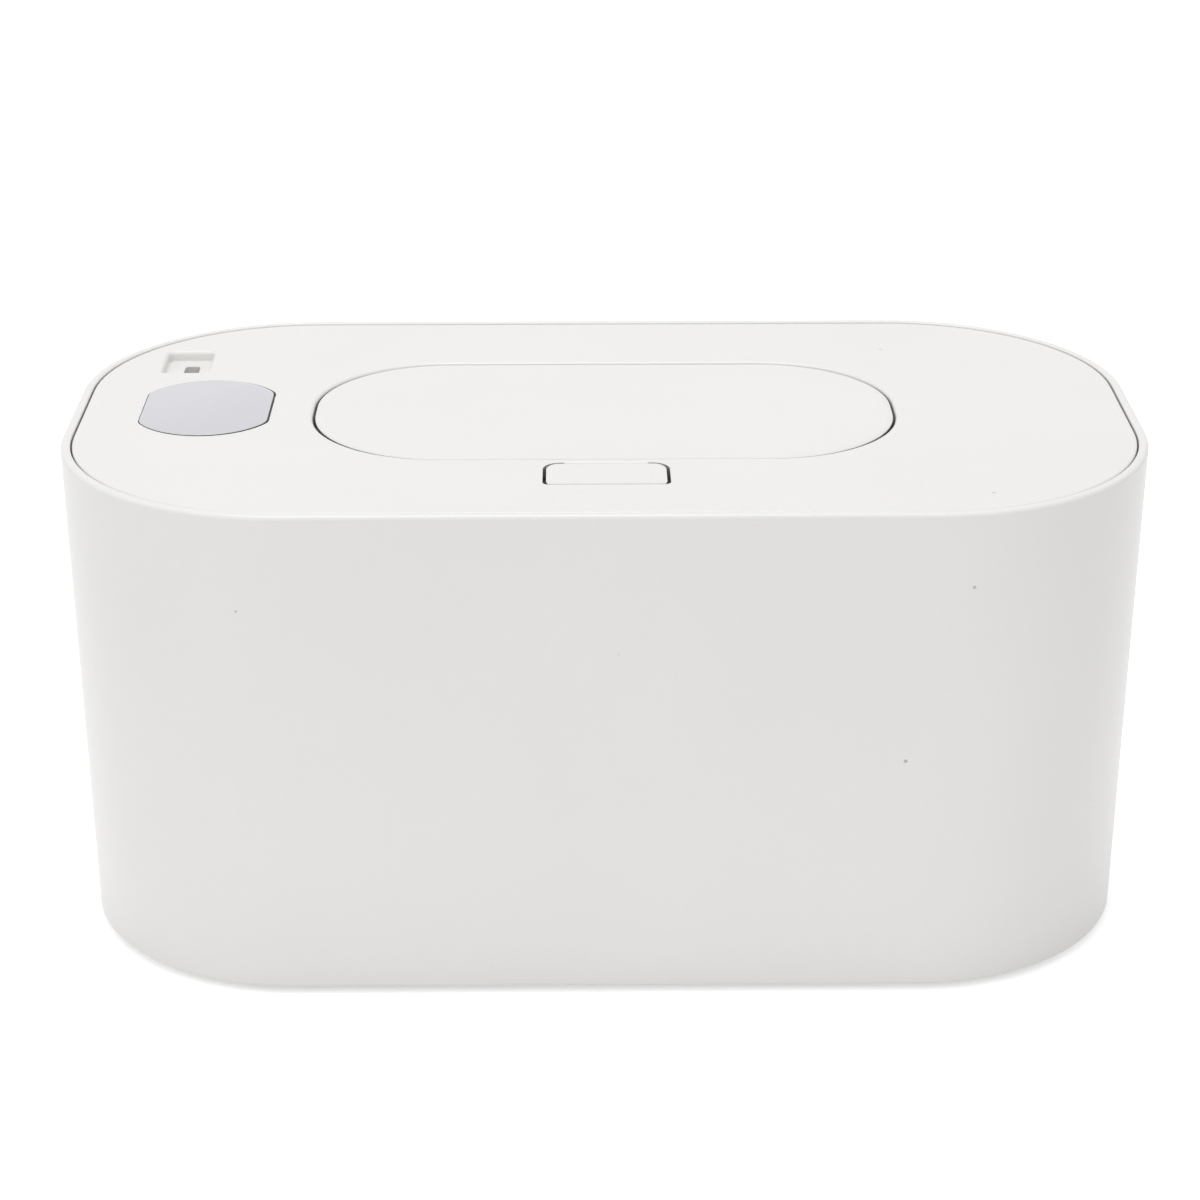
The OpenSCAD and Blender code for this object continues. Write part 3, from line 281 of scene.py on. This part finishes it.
def finish(name):
    """A named finish, made the first time it is asked for, with the user's colours."""
    if name in bpy.data.materials:
        return bpy.data.materials[name]
    shell, inner = bpy.context.scene.warmer_housing, bpy.context.scene.warmer_inside

    def white_abs(n, painted_shade=None):
        return moulded_plastic(n, shell.white, shell.gloss, shell.grain, specks=shell.speck,
                               painted_shade=painted_shade)

    makers = {
        # Housing: satin white ABS with the odd dark speck
        "moulded_abs_white": white_abs,
        # Lid: the same, with painted shade in its gaps and corners
        "moulded_abs_lid_painted_shade": lambda n: white_abs(n, (1.2 * MM, 0.4, 0.96)),
        # Flap: the same, with darker painted shade in its gaps and corners
        "moulded_abs_flap_painted_shade": lambda n: white_abs(n, (1.4 * MM, 0.15, 0.8)),
        # Button: the same, with the darkest painted shade, down its sides in its gap
        "moulded_abs_button_painted_shade": lambda n: white_abs(n, (1.6 * MM, 0.02, 0.3)),
        # Tub, cover and underplate: polypropylene, waxier and a little greyer
        "moulded_pp_white": lambda n: moulded_plastic(n, inner.white, 0.38, 0.6 * MM, 1.49),
        # Latch: acetal, slick and dense
        "moulded_acetal": lambda n: moulded_plastic(n, inner.acetal, 0.33, 0.3 * MM, 1.48),
        # Chips, sensor and display case: filled epoxy, black and dull
        "moulded_epoxy_black": lambda n: moulded_plastic(n, colour("2A2A2C"), 0.5, 0.2 * MM,
                                                         1.55),
        # Wire connector: unfilled nylon, yellowish
        "moulded_nylon_ivory": lambda n: moulded_plastic(n, colour("E4DFCC"), 0.45, 0.4 * MM),
        # Wires: silicone insulation in signal red
        "silicone_wire_red": lambda n: soft_rubber(n, inner.wire, 0.5),
        # Sealing ring, outlet and flap seal: soft white silicone
        "silicone_white": lambda n: soft_rubber(n, inner.silicone),
        # Feet: grey rubber with a dusty bloom
        "rubber_grey": lambda n: soft_rubber(n, shell.feet, 0.7, 1.12),
        # Screws: bright zinc plate, tumbled
        "zinc_plated_steel": lambda n: plated_metal(n, colour("CFCFCB"), 0.32),
        # Socket, fuse, hinge pin and chip legs: tinned or polished steel
        "tinned_steel": lambda n: plated_metal(n, colour("D6D6D4"), 0.25),
        # Springs: drawn wire, bright, with a fine cloud from the die's grease
        "bright_spring_wire": lambda n: plated_metal(n, colour("CFCFCD"), 0.2, grain=0.3 * MM),
        # Heater plate: brushed and anodised along its length
        "anodised_aluminium": lambda n: plated_metal(n, inner.plate, 0.36, (0.05, 1, 1)),
        # Contacts: gold flash over nickel
        "gold_flashed_contact": lambda n: plated_metal(n, colour("E3C067"), 0.22,
                                                       grain=0.4 * MM),
        # Capacitor can: plain aluminium, drawn upwards
        "drawn_aluminium": lambda n: plated_metal(n, colour("D9DBDD"), 0.3, (1, 1, 0.1)),
        # Lens: printed pale behind, bright and cool
        "tinted_acrylic_lens": lambda n: moulded_acrylic(n, shell.lens, 0.17),
        # Its edge: nothing is printed there, and it is painted dark: painted shade for the dark
        # it looks into
        "lens_edge_painted_shade": lambda n: moulded_acrylic(n, scaled(shell.lens, 0.2), 0.25),
        # Insulation and heater pad: dull grey foam, pitted
        "closed_cell_foam": lambda n: closed_cell_foam(n, inner.foam),
        # Heating film: amber and glossy, with dark rows of track
        "polyimide_heating_film": lambda n: heating_foil(n, inner.film, scaled(inner.film, 0.4),
                                                         inner.track_pitch),
        # Circuit board: green and glossy, with tinned specks
        "circuit_board_solder_mask": lambda n: solder_mask(n, inner.mask, colour("C9CCC6")),
    }
    return makers[name](name)


# Pieces

def dress(name, *nodes):
    """Gives CAD nodes a finish."""
    for node in nodes:
        NODES[node].data.materials.clear()
        NODES[node].data.materials.append(finish(name))


def piece(name, mesh, material, body, slot, *stands_for):
    """Turns a finished bmesh in metres into a piece that rides on a body, smooth up to its
    sharp edges, and stands for CAD nodes."""
    bmesh.ops.recalc_face_normals(mesh, faces=mesh.faces)
    for face in mesh.faces:
        face.smooth = True
    for edge in mesh.edges:
        edge.smooth = edge.calc_face_angle(math.pi) < SHARP
    data = bpy.data.meshes.new(name)
    mesh.to_mesh(data)
    mesh.free()
    data.materials.append(finish(material))
    made = bpy.data.objects.new(name, data)
    bpy.context.scene.collection.objects.link(made)
    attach(made, body)
    if stands_for:
        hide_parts(*stands_for)
    return made


def bevel(mesh, edges, width, segments=2):
    bmesh.ops.bevel(mesh, geom=edges, offset=width, offset_type="OFFSET", affect="EDGES",
                    segments=segments, profile=0.5, material=-1, clamp_overlap=True)


def block(mesh, middle, lengths, round_by, segments=2):
    """A box with rounded edges, from its middle and its lengths."""
    place = Matrix.Translation(middle) @ Matrix.Diagonal((*lengths, 1))
    made = bmesh.ops.create_cube(mesh, size=1, matrix=place)["verts"]
    bevel(mesh, list({edge for vert in made for edge in vert.link_edges}), round_by, segments)


def pull(mesh, edges, offset):
    """Pulls edges straight; returns the new edges at the far end."""
    made = bmesh.ops.extrude_edge_only(mesh, edges=edges)["geom"]
    ends = [g for g in made if isinstance(g, bmesh.types.BMVert)]
    bmesh.ops.translate(mesh, verts=ends, vec=offset)
    return [g for g in made
            if isinstance(g, bmesh.types.BMEdge) and all(v in ends for v in g.verts)]


def strip(mesh, start, width_along, steps, thickness):
    """A bent strip of sheet: an edge of the given width, pulled along the steps, made solid."""
    half, before = Vector(width_along) / 2, set(mesh.faces)
    first = [mesh.verts.new(Vector(start) - half), mesh.verts.new(Vector(start) + half)]
    edges = [mesh.edges.new(first)]
    for step in steps:
        edges = pull(mesh, edges, step)
    faces = [face for face in mesh.faces if face not in before]
    bmesh.ops.recalc_face_normals(mesh, faces=faces)
    bmesh.ops.solidify(mesh, geom=faces, thickness=thickness)


def lathe(mesh, profile, middle, steps=48):
    """Turns a profile of (radius, height) points in millimetres round a vertical axis through
    middle."""
    points = [mesh.verts.new((radius * MM, 0, height * MM)) for radius, height in profile]
    edges = [mesh.edges.new(pair) for pair in zip(points, points[1:])]
    bmesh.ops.spin(mesh, geom=points + edges, cent=(0, 0, 0), axis=(0, 0, 1), angle=2 * math.pi,
                   steps=steps, use_merge=True, use_duplicate=False)
    bmesh.ops.remove_doubles(mesh, verts=mesh.verts, dist=1e-7)
    bmesh.ops.translate(mesh, verts=mesh.verts, vec=middle)


def wind_spring(name, node, wire, radius, length, turns, place, first_leg=0.0, last_leg=0.0):
    """Winds a spring that climbs +Z from the origin, with straight legs where it has them, and
    puts it in its place; wire is half the wire's thickness."""
    mesh, sides, steps_a_turn = bmesh.new(), 12, 40
    steps = round(turns * steps_a_turn)
    bmesh.ops.create_circle(mesh, radius=wire, segments=sides,
                            matrix=Matrix.Translation((radius, -first_leg, 0)) @ SIDEWAYS)
    ring = mesh.edges[:]
    if first_leg:
        ring = pull(mesh, ring, (0, first_leg, 0))
    end = bmesh.ops.spin(mesh, geom=ring, cent=(0, 0, 0), axis=(0, 0, 1),
                         dvec=(0, 0, length / steps), angle=2 * math.pi * turns, steps=steps,
                         use_duplicate=False)["geom_last"]
    if last_leg:
        pull(mesh, [g for g in end if isinstance(g, bmesh.types.BMEdge)], (last_leg, 0, 0))
    bmesh.ops.holes_fill(mesh, edges=[e for e in mesh.edges if e.is_boundary], sides=0)
    bmesh.ops.transform(mesh, verts=mesh.verts, matrix=place)
    return piece(name, mesh, "bright_spring_wire", "lid", "spring_steel", node)


def make_touch_spring(wire):
    """The touch key's spring, upright between the board and the lens."""
    low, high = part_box("touch_spring")
    mid = (low + high) / 2
    wind_spring("touch_key_spring", "touch_spring", wire, (high.x - low.x) / 2 - wire,
                high.z - low.z - 2 * wire, 6, Matrix.Translation((mid.x, mid.y, low.z + wire)))


def make_latch_spring(wire):
    """The latch's return spring, which shortens as the latch slides; the piece made here keeps
    one length.
    """
    low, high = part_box("latch_spring")
    mid = (low + high) / 2
    made = wind_spring("latch_return_spring", "latch_spring", wire, (high.x - low.x) / 2 - wire,
                       high.y - low.y - 2 * wire, 5,
                       Matrix.Translation((mid.x, high.y - wire, mid.z)) @ SIDEWAYS)
    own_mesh(made)


def make_flap_spring(wire):
    """The torsion spring that throws the flap open, with its two legs."""
    low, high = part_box("hinge_pin")
    pin = (low + high) / 2
    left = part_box("flap_spring")[0].x
    wind_spring("flap_torsion_spring", "flap_spring", wire, 1.65 * MM, 3.4 * MM, 5.75,
                Matrix.Translation((left + wire, pin.y, pin.z)) @ ALONG_X,
                first_leg=4.5 * MM, last_leg=4.4 * MM)


def make_lens(look):
    """The lens, with its polished bevel and its clear edge, painted dark as painted shade: round
    ends, straight sides and round corners. Its slack shows at the front and at the right."""
    low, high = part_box("display_lens")
    high.x, low.y = high.x - look.lens_slack, low.y + look.lens_slack
    mid = (low + high) / 2
    half, end, corner = (high.x - low.x) / 2, look.lens_end, look.lens_corner
    shift, inset = (high.y - low.y) / 2 - end, half - corner
    rise = math.sqrt((end - corner) ** 2 - inset ** 2)
    small = math.atan2(rise, inset)
    mesh = bmesh.new()
    point = mesh.verts.new((half, -shift - rise, 0))
    for side in (1, -1):
        point = bmesh.ops.extrude_vert_indiv(mesh, verts=[point])["verts"][0]
        bmesh.ops.translate(mesh, verts=[point], vec=(0, side * 2 * (shift + rise), 0))
        for cent, angle, steps in (((side * inset, side * (shift + rise), 0), small, 8),
                                   ((0, side * shift, 0), math.pi - 2 * small, 48),
                                   ((-side * inset, side * (shift + rise), 0), small, 8)):
            point = bmesh.ops.spin(mesh, geom=[point], cent=cent, axis=(0, 0, 1), angle=angle,
                                   steps=steps, use_duplicate=False)["geom_last"][0]
    bmesh.ops.remove_doubles(mesh, verts=mesh.verts, dist=1e-6)
    bmesh.ops.edgeloop_fill(mesh, edges=mesh.edges)
    top = bmesh.ops.extrude_face_region(mesh, geom=mesh.faces[:])["geom"]
    top = [g for g in top if isinstance(g, bmesh.types.BMVert)]
    bmesh.ops.translate(mesh, verts=top, vec=(0, 0, high.z - low.z))
    bevel(mesh, [e for e in mesh.edges if all(v in top for v in e.verts)], look.lens_bevel, 3)
    bmesh.ops.recalc_face_normals(mesh, faces=mesh.faces)
    # Steep faces make the lens's edge, which takes the finish painted dark as shade
    for face in mesh.faces:
        steep = face.normal.z < 0.3
        face.material_index = 1 if steep else 0
    bmesh.ops.translate(mesh, verts=mesh.verts, vec=(mid.x, mid.y, low.z))
    made = piece("bevelled_lens", mesh, "tinted_acrylic_lens", "lid", "lens_grey",
                 "display_lens")
    made.data.materials.append(finish("lens_edge_painted_shade"))


CHIPS = (  # In mm: middle from the board's right edge and the display's back edge, lengths; then
    # the legs on the front and back and on the left and right sides, and 1 on top or -1 below
    ((-4.0, 13.5), (5.0, 5.0, 1.0), (7, 7), 1),
    ((-3.5, 7.5), (4.0, 3.0, 1.2), (0, 4), 1),
    ((-3.0, 2.1), (3.0, 3.0, 1.6), (0, 3), 1),
    ((-10.0, -4.0), (4.0, 4.0, 1.0), (0, 5), -1),
)
COIL_AT, COIL, COIL_PAD = (-9.0, 23.5, 1.0), (3.9, 2.9, 1.9), (0.7, 2.6, 1.2)
CAN_AT, CAN = (-9.5, 6.5, 0), (  # Its profile has a crimped groove near the foot and a rolled top
    (0, 0.02), (2.2, 0.02), (2.45, 0.3), (2.45, 0.9), (2.2, 1.1), (2.2, 1.25), (2.45, 1.45),
    (2.45, 5.1), (2.3, 5.3), (1.9, 5.36), (1.75, 5.25), (0, 5.25))


def chip_legs(mesh, foot, lengths, legs, side):
    """Gull-wing legs along the sides of a chip: legs[0] on its front and back, legs[1] left and
    right."""
    width, thick, reach, spread = 0.22 * MM, 0.1 * MM, 0.28 * MM, 0.68
    shoulder, sole = lengths[2] * 0.45, 0.07 * MM
    for along, count in enumerate(legs):
        across = 1 - along
        for end in (-1, 1):
            for i in range(count):
                at, edge, out = Vector(), Vector(), Vector()
                at[along] = (i - (count - 1) / 2) * lengths[along] * spread / max(count - 1, 1)
                at[across] = end * (lengths[across] / 2 - 2 * reach)
                at[2] = side * shoulder
                edge[along], out[across] = width, end * reach
                down = Vector((0, 0, -side * (shoulder - sole)))
                strip(mesh, foot + at, edge, (out, down, out), thick)


def make_board_parts():
    """The parts on the circuit board, with their legs, pads and can."""
    under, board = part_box("main_board")
    datum = Vector((board.x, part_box("display_module")[1].y, 0))
    leg_room, lift = 0.9 * MM, 0.05 * MM
    bodies, legs, can = bmesh.new(), bmesh.new(), bmesh.new()
    for (x, y), lengths, count, side in CHIPS:
        lengths = Vector(lengths) * MM
        foot = datum + Vector((x * MM, y * MM, board.z if side > 0 else under.z))
        trim = Vector((leg_room if count[1] else 0, leg_room if count[0] else 0, 0.14 * MM))
        rise = Vector((0, 0, side * (lengths.z / 2 + lift)))
        block(bodies, foot + rise, lengths - trim, 0.12 * MM)
        chip_legs(legs, foot, lengths, count, side)
    datum.z = board.z
    coil = datum + Vector(COIL_AT) * MM
    block(bodies, coil, Vector(COIL) * MM, 0.3 * MM, 3)
    for end in (-1, 1):
        block(legs, coil + Vector((end * 2.15, 0, -0.35)) * MM, Vector(COIL_PAD) * MM, 0.1 * MM)
    lathe(can, CAN, datum + Vector(CAN_AT) * MM)
    piece("chip_bodies", bodies, "moulded_epoxy_black", "lid", "part_black", "board_components")
    piece("chip_legs", legs, "tinned_steel", "lid", "part_steel")
    piece("capacitor_can", can, "drawn_aluminium", "lid", "part_steel")


def make_socket_contacts():
    """Two rows of gold-flashed contacts on the socket's tongue."""
    low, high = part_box("usb_socket")
    mid = (low + high) / 2
    tongue, sunk, pitch, row = 0.36 * MM, 0.9 * MM, 0.5 * MM, 12
    lengths = Vector((0.06, 0.28, 3.4)) * MM
    mesh = bmesh.new()
    for side in (-1, 1):
        for i in range(row):
            block(mesh, (mid.x + side * tongue, mid.y + (i - (row - 1) / 2) * pitch,
                         high.z - sunk - lengths.z / 2), lengths, 0.02 * MM, 1)
    piece("socket_contacts", mesh, "gold_flashed_contact", "lid", "part_steel")


# Stage

def make_camera(look):
    level = math.cos(look.elevation)
    back = Vector((math.sin(look.azimuth) * level, -math.cos(look.azimuth) * level,
                   math.sin(look.elevation)))
    data = bpy.data.cameras.new("camera")
    data.sensor_width = 36.0
    data.lens = look.focal
    data.clip_start, data.clip_end = 0.01, 20.0
    camera = bpy.data.objects.new("camera", data)
    camera.rotation_mode = "QUATERNION"
    camera.location = Vector(look.aim) + back * look.distance
    camera.rotation_quaternion = (-back).to_track_quat("-Z", "Y")
    bpy.context.scene.collection.objects.link(camera)
    bpy.context.scene.camera = camera


def shown_to_eye(tree):
    """1 for rays from the eye, and for mirrored and refracted ones."""
    rays = add(tree, "LightPath").outputs
    seen = add(tree, "Math", links={0: rays["Is Camera Ray"], 1: rays["Is Glossy Ray"]},
               operation="MAXIMUM")
    return add(tree, "Math", links={0: seen, 1: rays["Is Transmission Ray"]},
               operation="MAXIMUM")


def make_floor(look):
    """A plain pale floor: white to the eye but for the object's shadow, a little greyer to
    light."""
    made, tree = blank("pale_floor")
    seen = shown_to_eye(tree)
    tint = add(tree, "Mix", {"A": (*(look.floor_bounce,) * 3, 1), "B": (1, 1, 1, 1)},
               {"Factor": seen}, data_type="RGBA")
    matt = add(tree, "BsdfDiffuse", links={"Color": tint})
    lift = add(tree, "Math", {1: look.floor_lift}, {0: seen}, operation="MULTIPLY")
    glow = add(tree, "Emission", links={"Strength": lift})
    both = add(tree, "AddShader", links={0: matt, 1: glow})
    add(tree, "OutputMaterial", links={"Surface": both})
    shape = bmesh.new()
    bmesh.ops.create_grid(shape, x_segments=1, y_segments=1, size=6.0)
    data = bpy.data.meshes.new("floor")
    shape.to_mesh(data)
    shape.free()
    data.materials.append(made)
    floor = bpy.data.objects.new("floor", data)
    bpy.context.scene.collection.objects.link(floor)


def make_world(look):
    """An even white sky, dimmer to light than to the eye."""
    world = bpy.data.worlds.new("studio")
    bpy.context.scene.world = world
    world.use_nodes = True
    tree = world.node_tree
    tree.nodes.clear()
    strength = add(tree, "Mix", {"A": look.sky, "B": 1.0}, {"Factor": shown_to_eye(tree)},
                   data_type="FLOAT")
    sky = add(tree, "Background", {"Color": (1, 1, 1, 1)}, {"Strength": strength})
    add(tree, "OutputWorld", links={"Surface": sky})


def softbox(name, place, lengths, glow):
    """A rectangular softbox aimed at the object; glow is how bright it looks, where 1 is
    white."""
    data = bpy.data.lights.new(name, "AREA")
    data.shape = "RECTANGLE"
    data.size, data.size_y = lengths
    data.energy = glow * math.pi * lengths[0] * lengths[1]
    made = bpy.data.objects.new(name, data)
    made.rotation_mode = "QUATERNION"
    made.location = place
    made.rotation_quaternion = (Vector((0, 0, 0.05)) - Vector(place)).to_track_quat("-Z", "Y")
    bpy.context.scene.collection.objects.link(made)


# What a user would change

class HousingLook(bpy.types.PropertyGroup):
    """Colours and sizes of what shows from outside."""
    white: paint("White", "Body colour of the housing, lid, flap and button", "F0EFED")
    speck: paint("Specks", "Colour of the dark specks moulded into the white plastic", "BDB6A6")
    feet: paint("Feet", "Colour of the rubber feet", "7C7C7E")
    lens: paint("Lens", "Colour of the lens over the display", "D3D3D9")
    gloss: share("Roughness", "How rough the white plastic is", 0.34)
    grain: size("Grain", "Size of the mould's grain", 0.45)
    lens_end: size("Lens end radius", "Radius of the lens's front and back edges", 13.4)
    lens_corner: size("Lens corner radius", "Radius of the lens's corners", 5.0)
    lens_bevel: size("Lens bevel", "Width of the polished bevel round the lens", 0.2)
    lens_slack: size("Lens slack", "How much smaller than its seat the lens is", 0.1)


class InsideLook(bpy.types.PropertyGroup):
    """Colours and sizes of what is inside."""
    white: paint("White", "Body colour of the tub, cover and underplate", "EDEDEB")
    acetal: paint("Latch", "Colour of the latch slider", "E9E9E6")
    silicone: paint("Silicone", "Colour of the seals and the wipe outlet", "E6E7E7")
    foam: paint("Foam", "Colour of the insulating foam", "D8DADD")
    plate: paint("Heater plate", "Colour of the anodised heater plate", "DADCDD")
    film: paint("Heating film", "Colour of the heating film", "C07A1E")
    mask: paint("Circuit board", "Colour of the board's solder mask", "12552F")
    wire: paint("Wires", "Colour of the heater's wires", "B3261E")
    track_pitch: size("Track pitch", "Spacing of the heating film's track", 4.0)
    spring_wire: size("Spring wire", "Half the thickness of the touch and flap springs' wire",
                      0.25)
    latch_wire: size("Latch spring wire", "Half the thickness of the latch spring's wire", 0.2)
    latch_anchor: number("Latch spring's fixed end",
                         "Where the latch spring rests on the lid, along Y", -46.8 * MM,
                         unit="LENGTH", precision=5)
    latch_travel: size("Latch travel", "How far the latch slides", 1.6)


class StudioLook(bpy.types.PropertyGroup):
    """Camera and light."""
    focal: number("Focal length", "Focal length in mm on a 36 mm sensor", 89.6, min=1)
    distance: size("Distance", "From the camera to the point it looks at", 603.1)
    elevation: number("Elevation", "Camera angle above the table", math.radians(22.99),
                      subtype="ANGLE")
    azimuth: number("Azimuth", "Camera angle round the warmer", math.radians(-0.62),
                    subtype="ANGLE")
    aim: bpy.props.FloatVectorProperty(name="Aim", description="The point the camera looks at",
                                       default=(-0.58 * MM, 19.63 * MM, 47.7 * MM),
                                       subtype="TRANSLATION", unit="LENGTH", size=3,
                                       precision=5)
    sky: number("Sky", "Strength of the all-round light", 0.55, min=0)
    overhead: number("Overhead", "Glow of the large softbox overhead", 0.75, min=0)
    key: number("Key", "Glow of the small softbox overhead", 9.0, min=0)
    fill: number("Fill", "Glow of the softbox at the front left", 1.0, min=0)
    floor_bounce: share("Floor bounce", "How pale the floor is to light", 0.97)
    floor_lift: share("Floor lift", "What the eye sees the floor glow by", 0.45)


# Steps

class WARMER_OT_housing(bpy.types.Operator):
    """Finishes the housing, its tub, its cover, its insulation and its feet"""
    bl_idname = "warmer.housing"
    bl_label = "Housing"

    def execute(self, context):
        dress("moulded_abs_white", "outer_shell")
        dress("moulded_pp_white", "inner_tub", "bottom_cover")
        dress("closed_cell_foam", "insulation_sleeve")
        dress("rubber_grey", "rubber_feet")
        return {"FINISHED"}


class WARMER_OT_lid(bpy.types.Operator):
    """Finishes the lid, its underplate, its sealing ring and the wipe outlet"""
    bl_idname = "warmer.lid"
    bl_label = "Lid"

    def execute(self, context):
        # Its finish paints shade into the lid's gaps and corners
        dress("moulded_abs_lid_painted_shade", "lid_cover")
        dress("moulded_pp_white", "lid_underplate")
        dress("silicone_white", "lid_gasket", "wipe_outlet")
        return {"FINISHED"}


class WARMER_OT_flap(bpy.types.Operator):
    """Finishes the flap, its seal and its hinge pin"""
    bl_idname = "warmer.flap"
    bl_label = "Flap"

    def execute(self, context):
        # Its finish paints shade into the flap's gaps and corners
        dress("moulded_abs_flap_painted_shade", "flap")
        dress("silicone_white", "flap_seal")
        dress("tinned_steel", "hinge_pin")
        return {"FINISHED"}


class WARMER_OT_latch(bpy.types.Operator):
    """Finishes the release button and the latch slider"""
    bl_idname = "warmer.latch"
    bl_label = "Button and latch"

    def execute(self, context):
        # Its finish paints the darkest shade into the button's gap
        dress("moulded_abs_button_painted_shade", "release_button")
        dress("moulded_acetal", "latch_slider")
        return {"FINISHED"}


class WARMER_OT_springs(bpy.types.Operator):
    """Winds the touch key's, the latch's and the flap's springs"""
    bl_idname = "warmer.springs"
    bl_label = "Springs"

    def execute(self, context):
        look = context.scene.warmer_inside
        make_touch_spring(look.spring_wire)
        make_flap_spring(look.spring_wire)
        make_latch_spring(look.latch_wire)
        return {"FINISHED"}


class WARMER_OT_lens(bpy.types.Operator):
    """Makes the bevelled lens and finishes the display under it"""
    bl_idname = "warmer.lens"
    bl_label = "Lens and display"

    def execute(self, context):
        make_lens(context.scene.warmer_housing)
        dress("moulded_epoxy_black", "display_module")
        return {"FINISHED"}


class WARMER_OT_heater(bpy.types.Operator):
    """Finishes the heater plate, its film, pad, sensor, fuse and wires"""
    bl_idname = "warmer.heater"
    bl_label = "Heater"

    def execute(self, context):
        dress("anodised_aluminium", "heater_plate")
        dress("polyimide_heating_film", "heating_film")
        dress("closed_cell_foam", "heater_pad")
        dress("moulded_epoxy_black", "thermistor")
        dress("tinned_steel", "thermal_fuse")
        dress("silicone_wire_red", "heater_leads")
        return {"FINISHED"}


class WARMER_OT_board(bpy.types.Operator):
    """Finishes the circuit board and makes the parts on it"""
    bl_idname = "warmer.board"
    bl_label = "Circuit board"

    def execute(self, context):
        dress("circuit_board_solder_mask", "main_board")
        dress("moulded_nylon_ivory", "heater_connector")
        dress("tinned_steel", "usb_socket")
        make_board_parts()
        make_socket_contacts()
        return {"FINISHED"}


class WARMER_OT_screws(bpy.types.Operator):
    """Finishes the screws"""
    bl_idname = "warmer.screws"
    bl_label = "Screws"

    def execute(self, context):
        dress("zinc_plated_steel", "base_screws", "lid_screws", "heater_screws", "board_screws")
        return {"FINISHED"}


class WARMER_OT_stage(bpy.types.Operator):
    """Sets the camera, the floor and the lights"""
    bl_idname = "warmer.stage"
    bl_label = "Stage"

    def execute(self, context):
        look = context.scene.warmer_studio
        make_camera(look)
        make_floor(look)
        make_world(look)
        softbox("overhead", (-0.1, -0.1, 1.2), (1.0, 0.9), look.overhead)
        softbox("key", (-0.08, 0.05, 1.2), (0.35, 0.35), look.key)
        softbox("fill", (-0.55, -1.5, 0.45), (1.2, 0.9), look.fill)
        context.scene.view_settings.view_transform = "Standard"
        return {"FINISHED"}


class WARMER_PT_panel(bpy.types.Panel):
    """Lists the steps in the sidebar"""
    bl_label = "Wipe Warmer"
    bl_idname = "WARMER_PT_panel"
    bl_space_type = "VIEW_3D"
    bl_region_type = "UI"
    bl_category = "Wipe Warmer"

    def draw(self, context):
        for step in STEPS:
            self.layout.operator(step.bl_idname)


STEPS = (WARMER_OT_housing, WARMER_OT_lid, WARMER_OT_flap, WARMER_OT_latch, WARMER_OT_springs,
         WARMER_OT_lens, WARMER_OT_heater, WARMER_OT_board, WARMER_OT_screws, WARMER_OT_stage)
LOOKS = {"warmer_housing": HousingLook, "warmer_inside": InsideLook,
         "warmer_studio": StudioLook}
CLASSES = (*LOOKS.values(), *STEPS, WARMER_PT_panel)


def register():
    for cls in CLASSES:
        bpy.utils.register_class(cls)
    for name, cls in LOOKS.items():
        setattr(bpy.types.Scene, name, bpy.props.PointerProperty(type=cls))


def unregister():
    for name in LOOKS:
        delattr(bpy.types.Scene, name)
    for cls in reversed(CLASSES):
        bpy.utils.unregister_class(cls)


def main():
    register()
    for step in STEPS:
        group, action = step.bl_idname.split(".")
        if getattr(getattr(bpy.ops, group), action)() != {"FINISHED"}:
            raise RuntimeError(f"{step.bl_idname} didn't finish")


if __name__ == "__main__":
    main()
